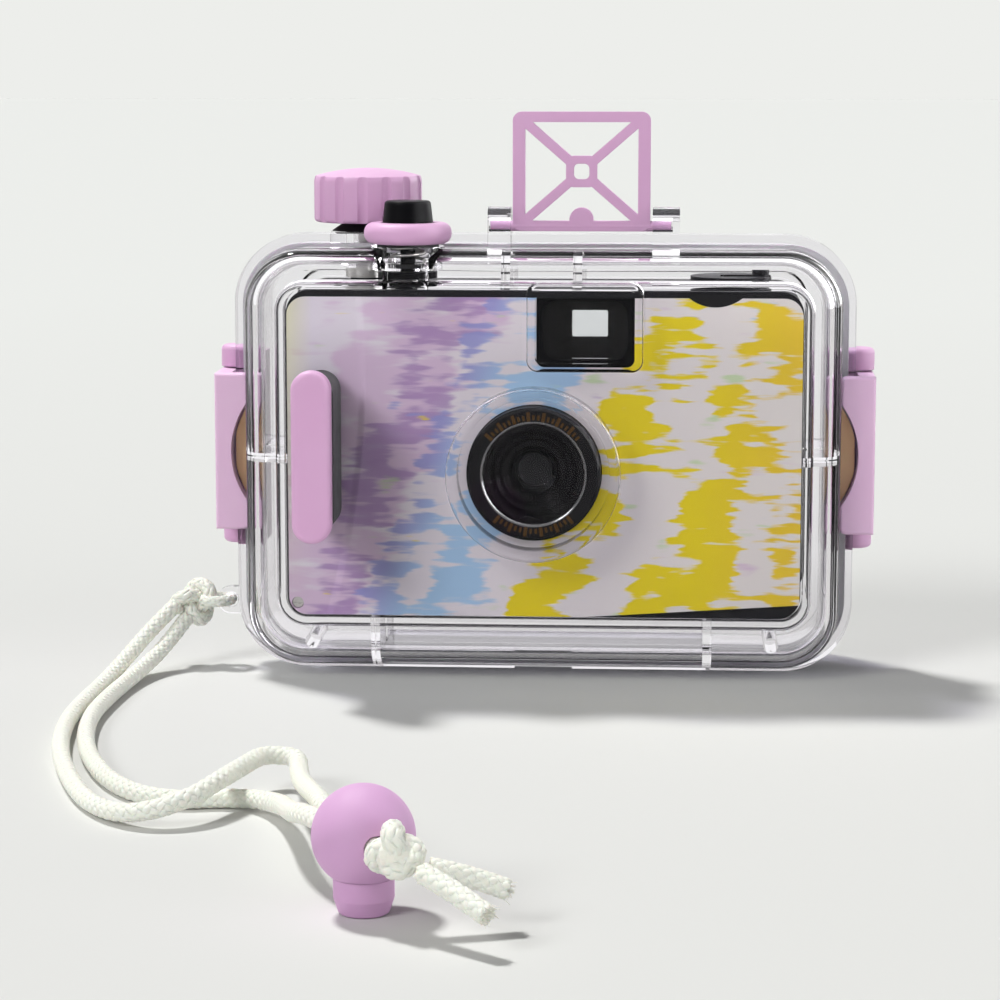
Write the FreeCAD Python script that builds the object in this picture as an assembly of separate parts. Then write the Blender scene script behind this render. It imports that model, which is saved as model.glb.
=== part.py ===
import FreeCAD, Part
import math
import os

# Underwater camera: a clear two-shell housing with side latches, a fold-down sight,
# a sealed shutter button and wind knob, a fixed-focus 35 mm film camera inside,
# and a wrist cord with a ball stopper. Millimetres, +Z up, +Y away from the viewer.
# The origin is on the base, in the parting plane of the two shells.

V = FreeCAD.Vector
X_DIR = V(1, 0, 0)
Y_DIR = V(0, 1, 0)
Z_DIR = V(0, 0, 1)

# Clearances
run_gap = 0.3
shaft_gap = 0.05
seat_gap = 0.2
seam_gap = 0.1
bury = 1.0
rib_end = 1.0

# Camera body. The housing is built round it, and everything in it hangs on these sizes.
cam_w = 101.8
cam_h = 64.9
cam_shift = 0.6
cam_r = 4.5
cam_wall = 1.2
panel_t = 0.8
box_wall = 1.7
front_wall = 1.8
box_side_gap = 0.4
box_end_gap = 0.3

# Housing: the rim stands round the raised box, and the flange round the rim
rim_side = 5.7
rim_above = 5.85
rim_below = 9.05
flange_lip_w = 3.2
flange_lip_h = 2.35
flange_t = 3.2
flange_r = 14.0
rim_r = 11.7
rim_wall = 2.3
rim_edge_r = 4.2
rim_front = 16.0
rim_rear = 18.5
box_r = 6.0
box_rise = 4.0
box_rise_rear = 3.0
box_edge_r = 1.3
cavity_edge_r = 2.0

rim_z0 = flange_lip_h
box_z0 = rim_z0 + rim_below
cam_z0 = box_z0 + box_wall + box_end_gap
cam_z1 = cam_z0 + cam_h
box_z1 = cam_z1 + box_wall + box_end_gap
rim_z1 = box_z1 + rim_above
flange_h = rim_z1 + flange_lip_h
mid_z = flange_h / 2
cam_x0 = -cam_w / 2 + cam_shift
cam_x1 = cam_w / 2 + cam_shift
box_x0 = cam_x0 - box_wall - box_side_gap
box_x1 = cam_x1 + box_wall + box_side_gap
rim_w = 2 * (box_x1 + rim_side)
flange_w = rim_w + 2 * flange_lip_w
box_front = rim_front + box_rise
box_rear = rim_rear + box_rise_rear
cam_front = -(box_front - front_wall - panel_t - 2 * run_gap)
cam_rear = rim_rear - 2.0
cavity_x = rim_w / 2 - rim_wall
cavity_z0 = rim_z0 + rim_wall
cavity_z1 = rim_z1 - rim_wall

# Camera inside its covers
panel_top = cam_z1 - 1.3
top_cover_z = cam_z1 - 9.4
cover_split_y = 3.0
door_inner_y = cam_rear - 1.9
chassis_x0 = cam_x0 + 1.3
chassis_x1 = cam_x1 - 1.3
chassis_z0 = cam_z0 + 1.4
chassis_z1 = top_cover_z - 0.4
chassis_front = cam_front + 4.8
chassis_rear = door_inner_y - 2.0
screw_inset = 1.9
screw_rise = 2.5
screw_x = cam_x0 + screw_inset
screw_z = cam_z0 + screw_rise
screw_r = 1.1
film_window_w = 6.0
film_window_h = 18.0
neck_r = 2.9
neck_shaft_r = 2.5
pivot_r = 1.5
notch_r = 8.4
notch_up = 6.6
notch_in = 17.3
notch_x = cam_x1 - notch_in
panel_r = 3.6
panel_inset = 0.2
panel_rise = 2.8
panel_rise_start = 10.0
finder_corner_r = 1.6
frame_lap = 0.1
door_gap = 0.1
film_z0 = chassis_z0 + 3.8
film_z1 = chassis_z1 - 1.7
gate_w = 36.0
gate_h = 24.0
dark_box_w = 33.0
dark_box_h = 22.0
dark_box_wall = 2.5
dark_box_mouth_r = 6.0

# Lens port and finder windows
lens_offset = -1.8
lens_rise = 29.2
lens_x = cam_shift + lens_offset
lens_z = cam_z0 + lens_rise
port_r = 17.2
port_bore_r = 15.0
port_rise = 5.0
port_front = box_front + port_rise
port_glass = 2.0
port_edge_r = 0.8
bump_r = 2.4
bump_edge_r = 0.9
bump_hollow_r = 1.0
finder_offset = 10.0
finder_drop = 7.7
finder_x = lens_x + finder_offset
finder_z = cam_z1 - finder_drop
finder_bump_w = 22.9
finder_bump_z0 = finder_z - 7.9
finder_bump_front = box_front + 2.4
eyepiece_z = finder_z - 1.3
eyepiece_w = 21.0
eyepiece_h = 15.0
eyepiece_rear = box_rear + 2.1

# Gasket between the flanges
gasket_w = flange_w - 2.8
gasket_h = flange_h - 3.8
gasket_width = 1.9
gasket_half = 1.0
gasket_r = 12.5

# Ribs inside the shells
foot_rib_x = 33.2
top_rib_x = 7.1
rib_t = 1.8
side_rib_z = mid_z + 0.25
post_r = 1.5
post_x = box_x1 - 7.7
post_low_z = rim_z0 + 5.15
pry_half_w = 5.85
pry_y = -1.4
pry_z = 1.6

# Foot rail under the rear shell
rail_w = 66.4
rail_y0 = 0.0
rail_y1 = 15.0

# Shutter button on the top of the housing
button_x = cam_x0 + 23.5
button_y = -9.5
boss_r = 7.35
boss_top = flange_h - 2.0
boss_low = boss_top - 4.6
boss_face_low = box_z1 - 1.3
foot_pocket_r = 6.2
well_r = 5.2
well_floor = boss_low + 1.5
stem_r = 1.5
collar_r = 8.7
collar_bore_r = 5.35
collar_h = 4.2
washer_h = 0.5
washer_r = 6.2
cap_r = 5.0
cap_top_r = 4.55
cap_top = boss_top + 9.0
cap_low = boss_top + 2.7
cap_pocket_r = 4.2
cap_pocket_top = boss_top + 5.0
foot_r = 5.9
foot_top = boss_low - 0.35
foot_h = 1.25
button_travel = 1.5
collar_edge_r = 1.9
cap_edge_r = 0.7
cap_lip = 0.3
stem_in_cap = 1.5
ring_seal_r = 2.6
ring_seal_h = 0.8
ring_seal_z = boss_low + 0.35
spring_wire = 0.7
spring_r = 3.3
spring_turns = 5

# Wind knob on the top of the rear shell
wind_x = cam_x0 + 13.6
wind_y = 10.0
wind_boss_r = 7.6
wind_boss_low = boss_low + 0.5
wind_washer_h = 1.5
wind_washer_top_r = 5.2
knob_r = 11.0
knob_h = 10.9
knob_flutes = 14
knob_flute_r = 1.3
knob_top_r = 2.8
knob_low_r = 0.8
knob_dome_r = 38.0
flute_offset = 0.75
shaft_in_knob = 7.0
wind_shaft_r = 2.5
fork_r = 4.6
fork_h = 3.0
fork_slot = 2.4
fork_slot_deep = 2.3
key_t = 1.8
key_len = 7.0

# Folding sight
sight_x = 7.5
sight_w = 27.4
sight_y = -4.0
axle_z = flange_h + 1.75
axle_r = 1.05
sight_top = axle_z + 22.65
sight_t = 2.0
side_bar = 2.45
top_bar = 2.05
diagonal_bar = 1.9
hub_z = axle_z + 10.85
hub_w = 6.2
hub_hole = 3.1
sight_corner_r = 1.8
axle_x0 = sight_x - 18.1
axle_x1 = sight_x + 17.9
lug_left = (sight_x - 18.6, sight_x - 14.0)
lug_right = (sight_x + 14.2, sight_x + 19.6)
sight_lug_r = 3.85
tab_r = 2.4
sight_low = 1.0
sight_hole_r = 0.5
hub_r = 1.6
hub_hole_corner_r = 1.0

# Latches on both sides
latch_flange_gap = 0.7
latch_web = 3.2
latch_barrel_r = 3.1
latch_pin_r = 1.2
latch_out = flange_w / 2 + latch_flange_gap + latch_web
latch_x = latch_out - latch_barrel_r
latch_in = rim_w / 2 + run_gap
latch_y = 7.2
latch_low = 15.45
latch_high = 16.25
latch_z0 = mid_z - latch_low
latch_z1 = mid_z + latch_high
bracket_z0 = latch_z0 - 4.6
bracket_z1 = latch_z1 + 4.7
bracket_r = 3.6
bracket_plate = 0.55
latch_plate_t = 3.2
latch_front = flange_t + 0.6 + latch_plate_t
latch_cut_w = 3.5
latch_cut_h = 20.6
latch_tip_r = 1.2
latch_edge_r = 0.6
bracket_edge_r = 1.0
pin_end = 1.2
bracket_half = 3.0
pad_t = 0.9
thumb_r = (latch_cut_h * latch_cut_h / 4 + latch_cut_w * latch_cut_w) / (2 * latch_cut_w)

# Front grip
grip_x = box_x0 + 9.0
grip_z = mid_z + 3.05
grip_w = 7.7
grip_h = 33.5
grip_cap_t = 3.0
grip_out = 16.0
grip_front = box_front + grip_out
grip_block_w = 7.7
grip_block_shift = 0.3
grip_block_h = 30.9
grip_edge_r = 1.2

# Cord lug on the left of the front shell
lug_x = -flange_w / 2 - 1.8
lug_z = 13.4
lug_hole_r = 1.6
lug_r = 2.8
lug_t = 2.0
lug_y = -1.7

# Lens group
bezel_r = 13.2
bezel_front = cam_front - 4.6
bezel_inner_r = 9.8
bezel_edge = 0.6
bezel_round = 0.7
barrel_r = 9.0
barrel_front = cam_front - 2.8
barrel_rear = cam_front + 2.9
neck_step = 0.6
glass_r = 4.4
glass_back = cam_front + 1.7
rear_glass_back = cam_front + 7.4
rear_glass_r = 4.0

# Finder tunnel
tunnel_w = 17.1
tunnel_h = 12.2
eye_w = 7.4
eye_h = 5.6
tunnel_wall = 1.2

# Film transport
spool_r = 4.0
spool_space_r = 8.4
wheel_r = 7.5
wheel_z = chassis_z1 + 1.1
wheel_h = 3.8
wheel_notches = 24
wheel_notch_r = 0.55
sprocket_x = wind_x + 12.4
sprocket_y = 8.6
sprocket_root_r = 3.3
sprocket_tooth_r = 4.2
sprocket_teeth = 8
perforation_half = 14.1
dial_x = sprocket_x + 10.7
dial_y = 3.0
dial_r = 7.0
dial_z = chassis_z1 + 4.1
rewind_x = cam_x1 - 14.0
rewind_y = -0.5
cassette_r = 13.0
cassette_shift = 1.6
crank_r = 8.2

# Shutter
blade_pivot_dx = 5.6
blade_pivot_dz = -4.4
camera_button_r = 3.5
rod_y0 = cam_front + 2.2
rod_y1 = rod_y0 + 1.4
blade_y0 = cam_front + 3.4
blade_y1 = blade_y0 + 0.5
stop_r = 1.6
blade_r = 2.9
blade_post_r = 0.5
shutter_plate_w = 19.0
shutter_plate_t = 0.6
shutter_tube_r = 5.0

# Cord
cord_d = 3.3
ball_at = (-18.3, -178.8)
ball_r = 7.65
ball_z = 11.5
end_knot_at = (-11.7, -188.9, 10.7)
end_knot_r = 4.4
lug_knot_at = (-71.7, -2.0, 12.8)
plunger_r = 4.5
plunger_gap = 0.25
plunger_travel = 2.0
plunger_foot_r = 3.7
plunger_taper_h = 2.4
plunger_top = 14.2
stopper_spring_r = 2.5
stopper_spring_top = 17.6
lug_knot_r = 4.6
lug_loop_r = 2.95
lug_loop_thick = 1.2
cord_hole_w = 6.8
cord_hole_h = 3.5


# Basic shapes

def block(x0, x1, y0, y1, z0, z1):
    return Part.makeBox(x1 - x0, y1 - y0, z1 - z0, V(x0, y0, z0))


def cyl_z(x, y, z0, z1, r):
    return Part.makeCylinder(r, z1 - z0, V(x, y, z0), Z_DIR)


def cyl_y(x, z, y0, y1, r):
    return Part.makeCylinder(r, y1 - y0, V(x, y0, z), Y_DIR)


def cyl_x(y, z, x0, x1, r):
    return Part.makeCylinder(r, x1 - x0, V(x0, y, z), X_DIR)


def cone_z(x, y, z0, r0, z1, r1):
    return Part.makeCone(r0, r1, z1 - z0, V(x, y, z0), Z_DIR)


def outline(x0, x1, z0, z1, r, y):
    """Closed rounded rectangle in the plane at y."""
    half = math.sqrt(0.5)
    corners = [
        (x1 - r, z1 - r, 1, 1), (x0 + r, z1 - r, -1, 1), (x0 + r, z0 + r, -1, -1), (x1 - r, z0 + r, 1, -1)]
    edges = []
    points = []
    for i, (cx, cz, sx, sz) in enumerate(corners):
        start = V(cx + sx * r, y, cz) if i % 2 == 0 else V(cx, y, cz + sz * r)
        end = V(cx, y, cz + sz * r) if i % 2 == 0 else V(cx + sx * r, y, cz)
        middle = V(cx + sx * r * half, y, cz + sz * r * half)
        points.append((start, middle, end))
    for i, (start, middle, end) in enumerate(points):
        edges.append(Part.Arc(start, middle, end).toShape())
        following = points[(i + 1) % 4][0]
        edges.append(Part.LineSegment(end, following).toShape())
    return Part.Wire(edges)


def slab(x0, x1, z0, z1, r, y0, y1):
    """Rounded rectangle in X and Z, thick along Y."""
    face = Part.Face(outline(x0, x1, z0, z1, r, y0))
    return face.extrude(V(0, y1 - y0, 0))


def centred_slab(x, z, w, h, r, y0, y1):
    return slab(x - w / 2, x + w / 2, z - h / 2, z + h / 2, r, y0, y1)


def edges_at_y(shape, y):
    found = []
    for edge in shape.Edges:
        bounds = edge.BoundBox
        if abs(bounds.YMin - y) < 0.001 and abs(bounds.YMax - y) < 0.001:
            found.append(edge)
    return found


def edges_at_z(shape, z):
    found = []
    for edge in shape.Edges:
        bounds = edge.BoundBox
        if abs(bounds.ZMin - z) < 0.001 and abs(bounds.ZMax - z) < 0.001:
            found.append(edge)
    return found


def rounded(shape, edges, r):
    return shape.makeFillet(r, edges)


def lathe_y(points, x, z):
    """Solid of revolution about a line along Y, from (radius, y) pairs."""
    corners = [V(x + r, y, z) for r, y in points]
    corners.append(corners[0])
    return Part.Face(Part.makePolygon(corners)).revolve(V(x, 0, z), Y_DIR, 360)


def join(first, others):
    return first.fuse(others).removeSplitter()


def mirrored_x(shape):
    return shape.mirror(V(0, 0, 0), X_DIR)


# Housing shells

def rim_body(y_far, y_flange):
    """Flange plate and rim block of one shell, closed, with its outer edge rounded."""
    seam = math.copysign(seam_gap / 2, y_far)
    rim = slab(-rim_w / 2, rim_w / 2, rim_z0, rim_z1, rim_r, min(seam, y_far), max(seam, y_far))
    rim = rounded(rim, edges_at_y(rim, y_far), rim_edge_r)
    flange = slab(
        -flange_w / 2, flange_w / 2, 0, flange_h, flange_r, min(seam, y_flange), max(seam, y_flange))
    return rim, flange


def raised_box(y_from, y_to):
    shape = slab(box_x0, box_x1, box_z0, box_z1, box_r, min(y_from, y_to), max(y_from, y_to))
    return rounded(shape, edges_at_y(shape, y_to), box_edge_r)


def rim_cavity(y_deep):
    shape = slab(-cavity_x, cavity_x, cavity_z0, cavity_z1, rim_r - rim_wall, min(0, y_deep), max(0, y_deep))
    return rounded(shape, edges_at_y(shape, y_deep), cavity_edge_r)


def box_cavity(y_from, y_to):
    return slab(
        box_x0 + box_wall, box_x1 - box_wall, box_z0 + box_wall, box_z1 - box_wall,
        box_r - box_wall, min(y_from, y_to), max(y_from, y_to))


def gasket_ring(half, extra):
    outer = centred_slab(0, mid_z, gasket_w + extra, gasket_h + extra, gasket_r, -half, half)
    inner_w = gasket_w - 2 * gasket_width - extra
    inner_h = gasket_h - 2 * gasket_width - extra
    inner = centred_slab(0, mid_z, inner_w, inner_h, gasket_r - gasket_width, -half, half)
    return outer.cut(inner)


def sight_lug(x0, x1):
    upright = block(x0, x1, sight_y - sight_lug_r, sight_y + sight_lug_r, rim_z1 - 1.0, axle_z)
    return upright.fuse(cyl_x(sight_y, axle_z, x0, x1, sight_lug_r))


def make_front_shell():
    rim, flange = rim_body(-rim_front, -flange_t)
    box = raised_box(-rim_front + 1.0, -box_front)
    port = cyl_y(lens_x, lens_z, -port_front, -box_front + 0.5, port_r)
    port = rounded(port, edges_at_y(port, -port_front), port_edge_r)
    bump = slab(
        finder_x - finder_bump_w / 2, finder_x + finder_bump_w / 2, finder_bump_z0, box_z1,
        bump_r, -finder_bump_front, -box_front + 0.5)
    bump = rounded(bump, edges_at_y(bump, -finder_bump_front), bump_edge_r)
    boss = cyl_z(button_x, button_y, boss_face_low, boss_top, boss_r)
    lug = cyl_y(lug_x, lug_z, lug_y - lug_t / 2, lug_y + lug_t / 2, lug_r)
    lug_foot = block(
        lug_x, -flange_w / 2 + 2 * bury, lug_y - lug_t / 2, lug_y + lug_t / 2, lug_z - lug_r, lug_z + lug_r)
    sight_lugs = [sight_lug(*lug_left), sight_lug(*lug_right)]
    shell = join(rim, [flange, box, port, bump, boss, lug, lug_foot] + sight_lugs)
    shell = shell.cut(rim_cavity(-rim_front + rim_wall))
    shell = shell.cut(box_cavity(-rim_front + rim_wall + 0.5, -box_front + front_wall))
    shell = shell.cut(cyl_y(
        lens_x, lens_z, -port_front + port_glass, -box_front + front_wall + 0.5, port_bore_r))
    shell = shell.cut(slab(
        finder_x - finder_bump_w / 2 + box_wall, finder_x + finder_bump_w / 2 - box_wall,
        finder_bump_z0 + box_wall, box_z1 - box_wall, bump_hollow_r,
        -finder_bump_front + front_wall, -box_front + front_wall + 0.5))
    inner_boss = cyl_z(button_x, button_y, boss_low, cavity_z1 + 0.5, boss_r - 0.4)
    adds = [inner_boss]
    for x in (-foot_rib_x, foot_rib_x):
        adds.append(block(
            x - rib_t / 2, x + rib_t / 2, -rim_front + bury, -rib_end, cavity_z0 - 0.5, cam_z0 - seat_gap))
    for x in (-top_rib_x, top_rib_x):
        adds.append(block(
            x - rib_t / 2, x + rib_t / 2, -rim_front + bury, -rib_end, cam_z1 + seat_gap, cavity_z1 + 0.5))
    side = (side_rib_z - rib_t / 2, side_rib_z + rib_t / 2)
    adds.append(block(-cavity_x - 0.5, cam_x0 - seat_gap, -rim_front + bury, -rib_end, *side))
    adds.append(block(cam_x1 + seat_gap, cavity_x + 0.5, -rim_front + bury, -rib_end, *side))
    for x in (-post_x, post_x):
        adds.append(cyl_y(x, post_low_z, -rim_front + bury, -rib_end / 2, post_r))
    shell = join(shell, adds)
    shell = shell.cut(cyl_z(button_x, button_y, box_z1 - box_wall - 0.2, boss_low, foot_pocket_r))
    shell = shell.cut(cyl_z(button_x, button_y, well_floor, boss_top + 1.0, well_r))
    shell = shell.cut(cyl_z(button_x, button_y, boss_low - 1.0, well_floor + 0.5, stem_r + shaft_gap))
    shell = shell.cut(cyl_z(button_x, button_y, ring_seal_z, ring_seal_z + ring_seal_h, ring_seal_r))
    shell = shell.cut(cyl_z(button_x, button_y, boss_top, flange_h + 1.0, collar_r + run_gap))
    shell = shell.cut(cyl_x(sight_y, axle_z, axle_x0 - run_gap, axle_x1 + run_gap, axle_r + shaft_gap))
    shell = shell.cut(cyl_y(lug_x, lug_z, lug_y - lug_t, lug_y + lug_t, lug_hole_r))
    shell = shell.cut(block(-pry_half_w, pry_half_w, -flange_t, pry_y, -1.0, pry_z))
    return shell.cut(gasket_ring(gasket_half + shaft_gap, 0))


def make_rear_shell():
    rim, flange = rim_body(rim_rear, flange_t)
    box = raised_box(rim_rear - 1.0, box_rear)
    bump = centred_slab(finder_x, eyepiece_z, eyepiece_w, eyepiece_h, bump_r, box_rear - 0.5, eyepiece_rear)
    bump = rounded(bump, edges_at_y(bump, eyepiece_rear), bump_edge_r)
    boss = cyl_z(wind_x, wind_y, rim_z1 - 1.0, flange_h, wind_boss_r)
    rail = block(-rail_w / 2, rail_w / 2, rail_y0, rail_y1, 0, rim_z0 + 0.5)
    shell = join(rim, [flange, box, bump, boss, rail])
    shell = shell.cut(rim_cavity(rim_rear - rim_wall))
    shell = shell.cut(box_cavity(rim_rear - rim_wall - 0.5, box_rear - front_wall))
    shell = shell.cut(centred_slab(
        finder_x, eyepiece_z, eyepiece_w - 2 * box_wall, eyepiece_h - 2 * box_wall, bump_hollow_r,
        box_rear - front_wall - 0.5, eyepiece_rear - front_wall))
    adds = [cyl_z(wind_x, wind_y, wind_boss_low, cavity_z1 + 0.5, wind_boss_r - 2.0)]
    for x in (-foot_rib_x, foot_rib_x):
        adds.append(block(
            x - rib_t / 2, x + rib_t / 2, rib_end, rim_rear - bury, cavity_z0 - 0.5, cam_z0 - seat_gap))
    for x in (-top_rib_x, top_rib_x):
        adds.append(block(
            x - rib_t / 2, x + rib_t / 2, rib_end, rim_rear - bury, cam_z1 + seat_gap, cavity_z1 + 0.5))
    side = (side_rib_z - rib_t / 2, side_rib_z + rib_t / 2)
    adds.append(block(-cavity_x - 0.5, cam_x0 - seat_gap, rib_end, rim_rear - bury, *side))
    adds.append(block(cam_x1 + seat_gap, cavity_x + 0.5, rib_end, rim_rear - bury, *side))
    shell = join(shell, adds)
    shell = shell.cut(cyl_z(wind_x, wind_y, wind_boss_low - 1.0, flange_h + 1.0, wind_shaft_r + shaft_gap))
    shell = shell.cut(cyl_z(button_x, button_y, boss_top, flange_h + 1.0, collar_r + run_gap))
    return shell.cut(gasket_ring(gasket_half + shaft_gap, 0))


# Latches. Each is a clip that turns on a pin at the rear shell and hooks over the front flange.

def make_latch():
    """Left latch. Its barrel is on the pin and its plate reaches over the flange."""
    barrel = cyl_z(-latch_x, latch_y, latch_z0, latch_z1, latch_barrel_r)
    web = block(-latch_out, -latch_out + latch_web, -latch_front + 1.0, latch_y, latch_z0, latch_z1)
    plate = block(-latch_out, -latch_in, -latch_front, -latch_front + latch_plate_t, latch_z0, latch_z1)
    corners = [e for e in plate.Edges if abs(e.BoundBox.YMin - e.BoundBox.YMax) > 1.0]
    plate = plate.makeFillet(latch_tip_r, [e for e in corners if e.BoundBox.XMin > -latch_in - 1.0])
    latch = join(barrel, [web, plate])
    latch = rounded(latch, edges_at_y(latch, -latch_front), latch_edge_r)
    middle = (latch_z0 + latch_z1) / 2
    thumb_x = -latch_in + thumb_r - latch_cut_w
    thumb = cyl_y(thumb_x, middle, -latch_front - 1, -latch_front + latch_plate_t + 1, thumb_r)
    latch = latch.cut(thumb)
    return latch.cut(cyl_z(-latch_x, latch_y, latch_z0 - 1.0, latch_z1 + 1.0, latch_pin_r + shaft_gap))


def make_bracket():
    """Left hinge bracket: two round caps on a thin plate against the rear shell's side."""
    wall_x = -rim_w / 2
    caps = []
    y0 = latch_y - bracket_half
    y1 = latch_y + bracket_half
    for z_out, z_in in ((bracket_z0, latch_z0 - run_gap), (bracket_z1, latch_z1 + run_gap)):
        low = min(z_out, z_in)
        high = max(z_out, z_in)
        cap = cyl_z(-latch_x, latch_y, low, high, bracket_r)
        cap = rounded(cap, edges_at_z(cap, z_out), bracket_edge_r)
        inset = bracket_edge_r if z_out == low else 0.0
        foot = block(-latch_x, wall_x, y0, y1, low + inset, high - (bracket_edge_r - inset))
        caps.append(cap.fuse(foot))
    plate = block(
        wall_x - bracket_plate, wall_x, latch_y - bracket_half, latch_y + bracket_half,
        bracket_z0 + bracket_edge_r, bracket_z1 - bracket_edge_r)
    bracket = join(plate, caps)
    return bracket.cut(cyl_z(-latch_x, latch_y, bracket_z0 + pin_end, bracket_z1 - pin_end, latch_pin_r))


def make_latch_pin():
    return cyl_z(-latch_x, latch_y, bracket_z0 + pin_end, bracket_z1 - pin_end, latch_pin_r)


def make_latch_pad():
    """Soft half-moon pad on the front flange, inside the thumb cut of the latch."""
    middle = (latch_z0 + latch_z1) / 2
    pad = cyl_y(-latch_in + thumb_r - latch_cut_w, middle, -flange_t - pad_t, -flange_t, thumb_r - run_gap)
    face = block(-flange_w / 2, -rim_w / 2 - 0.02, -flange_t - pad_t, -flange_t, latch_z0, latch_z1)
    return pad.common(face)


# Grip on the front of the raised box

def make_grip_block():
    return centred_slab(
        grip_x + grip_block_shift, grip_z, grip_block_w, grip_block_h, grip_block_w / 2 - 0.1,
        -grip_front + grip_cap_t, -box_front)


def make_grip_cap():
    cap = centred_slab(
        grip_x, grip_z, grip_w, grip_h, grip_w / 2 - 0.1, -grip_front, -grip_front + grip_cap_t)
    return rounded(cap, edges_at_y(cap, -grip_front), grip_edge_r)


# Folding sight: a frame with crossed bars on an axle

def make_sight():
    x0 = sight_x - sight_w / 2
    x1 = sight_x + sight_w / 2
    y0 = sight_y - sight_t / 2
    y1 = sight_y + sight_t / 2
    z0 = axle_z - sight_low
    frame = slab(x0, x1, z0, sight_top, sight_corner_r, y0, y1)
    frame = frame.cut(slab(
        x0 + side_bar, x1 - side_bar, z0 + top_bar, sight_top - top_bar, sight_hole_r, y0 - 1, y1 + 1))
    inner_x = sight_w / 2 - side_bar
    inner_z = (sight_top - top_bar) - hub_z
    bars = []
    for sx in (-1, 1):
        for sz in (-1, 1):
            reach = math.hypot(inner_x, inner_z) + 0.8
            bar = block(0, reach, y0, y1, -diagonal_bar / 2, diagonal_bar / 2)
            angle = math.degrees(math.atan2(sz * inner_z, sx * inner_x))
            bar.rotate(V(0, 0, 0), Y_DIR, -angle)
            bar.translate(V(sight_x, 0, hub_z))
            bars.append(bar)
    hub = centred_slab(sight_x, hub_z, hub_w, hub_w, hub_r, y0, y1)
    axle = cyl_x(sight_y, axle_z, axle_x0, axle_x1, axle_r)
    tab = cyl_y(sight_x, axle_z + 1.3, y0, y1, tab_r).common(block(x0, x1, y0, y1, axle_z, sight_top))
    frame = join(frame, bars + [hub, axle, tab])
    return frame.cut(centred_slab(sight_x, hub_z, hub_hole, hub_hole, hub_hole_corner_r, y0 - 1, y1 + 1))


# Shutter button

collar_z0 = boss_top + washer_h
stem_top = cap_pocket_top + stem_in_cap
cap_shoulder = collar_z0 + collar_h + cap_lip


def make_button_washer():
    ring = cyl_z(button_x, button_y, boss_top, collar_z0, washer_r)
    return ring.cut(cyl_z(button_x, button_y, boss_top - 1, collar_z0 + 1, collar_bore_r))


def make_button_collar():
    collar = cyl_z(button_x, button_y, collar_z0, collar_z0 + collar_h, collar_r)
    edges = edges_at_z(collar, collar_z0) + edges_at_z(collar, collar_z0 + collar_h)
    collar = rounded(collar, edges, collar_edge_r)
    return collar.cut(cyl_z(button_x, button_y, collar_z0 - 1, collar_z0 + collar_h + 1, collar_bore_r))


def make_button_cap():
    low = cyl_z(button_x, button_y, cap_low, cap_shoulder, cap_r)
    high = cone_z(button_x, button_y, cap_shoulder, cap_r, cap_top, cap_top_r)
    cap = low.fuse(high)
    cap = rounded(cap, edges_at_z(cap, cap_top), cap_edge_r)
    cap = cap.cut(cyl_z(button_x, button_y, cap_low - 1, cap_pocket_top, cap_pocket_r))
    return cap.cut(cyl_z(button_x, button_y, cap_low, stem_top, stem_r))


def make_button_plunger():
    """Steel stem with the foot disc that presses the camera's own button."""
    stem = cyl_z(button_x, button_y, foot_top - foot_h, stem_top, stem_r)
    foot = cyl_z(button_x, button_y, foot_top - foot_h, foot_top, foot_r)
    return join(stem, [foot])


def make_button_seal():
    ring = cyl_z(button_x, button_y, ring_seal_z, ring_seal_z + ring_seal_h, ring_seal_r)
    return ring.cut(cyl_z(button_x, button_y, ring_seal_z - 1, ring_seal_z + 2, stem_r + shaft_gap))


def helix_point(turn, x, y, z0, height, turns, radius):
    angle = 2 * math.pi * turn
    return V(x + radius * math.cos(angle), y + radius * math.sin(angle), z0 + height * turn / turns)


def coil(x, y, z0, height, turns, radius, wire_d):
    """Round wire on a rising path of quarter-turn arcs."""
    edges = []
    for i in range(4 * turns):
        start = helix_point(i / 4, x, y, z0, height, turns, radius)
        middle = helix_point(i / 4 + 0.125, x, y, z0, height, turns, radius)
        end = helix_point(i / 4 + 0.25, x, y, z0, height, turns, radius)
        edges.append(Part.Arc(start, middle, end).toShape())
    spine = Part.Wire(edges)
    first = helix_point(0, x, y, z0, height, turns, radius)
    tangent = spine.Edges[0].tangentAt(spine.Edges[0].FirstParameter)
    section = Part.Wire([Part.Circle(first, tangent, wire_d / 2).toShape()])
    return spine.makePipeShell([section], True, False)


def make_button_spring():
    z0 = well_floor + spring_wire / 2 + 0.02
    height = cap_pocket_top - well_floor - spring_wire - 0.04
    spring = coil(button_x, button_y, z0, height, spring_turns, spring_r, spring_wire)
    print("button spring gap between turns", round(height / spring_turns - spring_wire, 2))
    return spring


# Wind knob and its shaft

washer_top = flange_h + wind_washer_h
knob_z0 = washer_top + run_gap
knob_z1 = knob_z0 + knob_h


def make_wind_washer():
    washer = cone_z(wind_x, wind_y, flange_h, wind_boss_r - 0.2, washer_top, wind_washer_top_r)
    return washer.cut(cyl_z(wind_x, wind_y, flange_h - 1, washer_top + 1, wind_shaft_r + shaft_gap))


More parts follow.
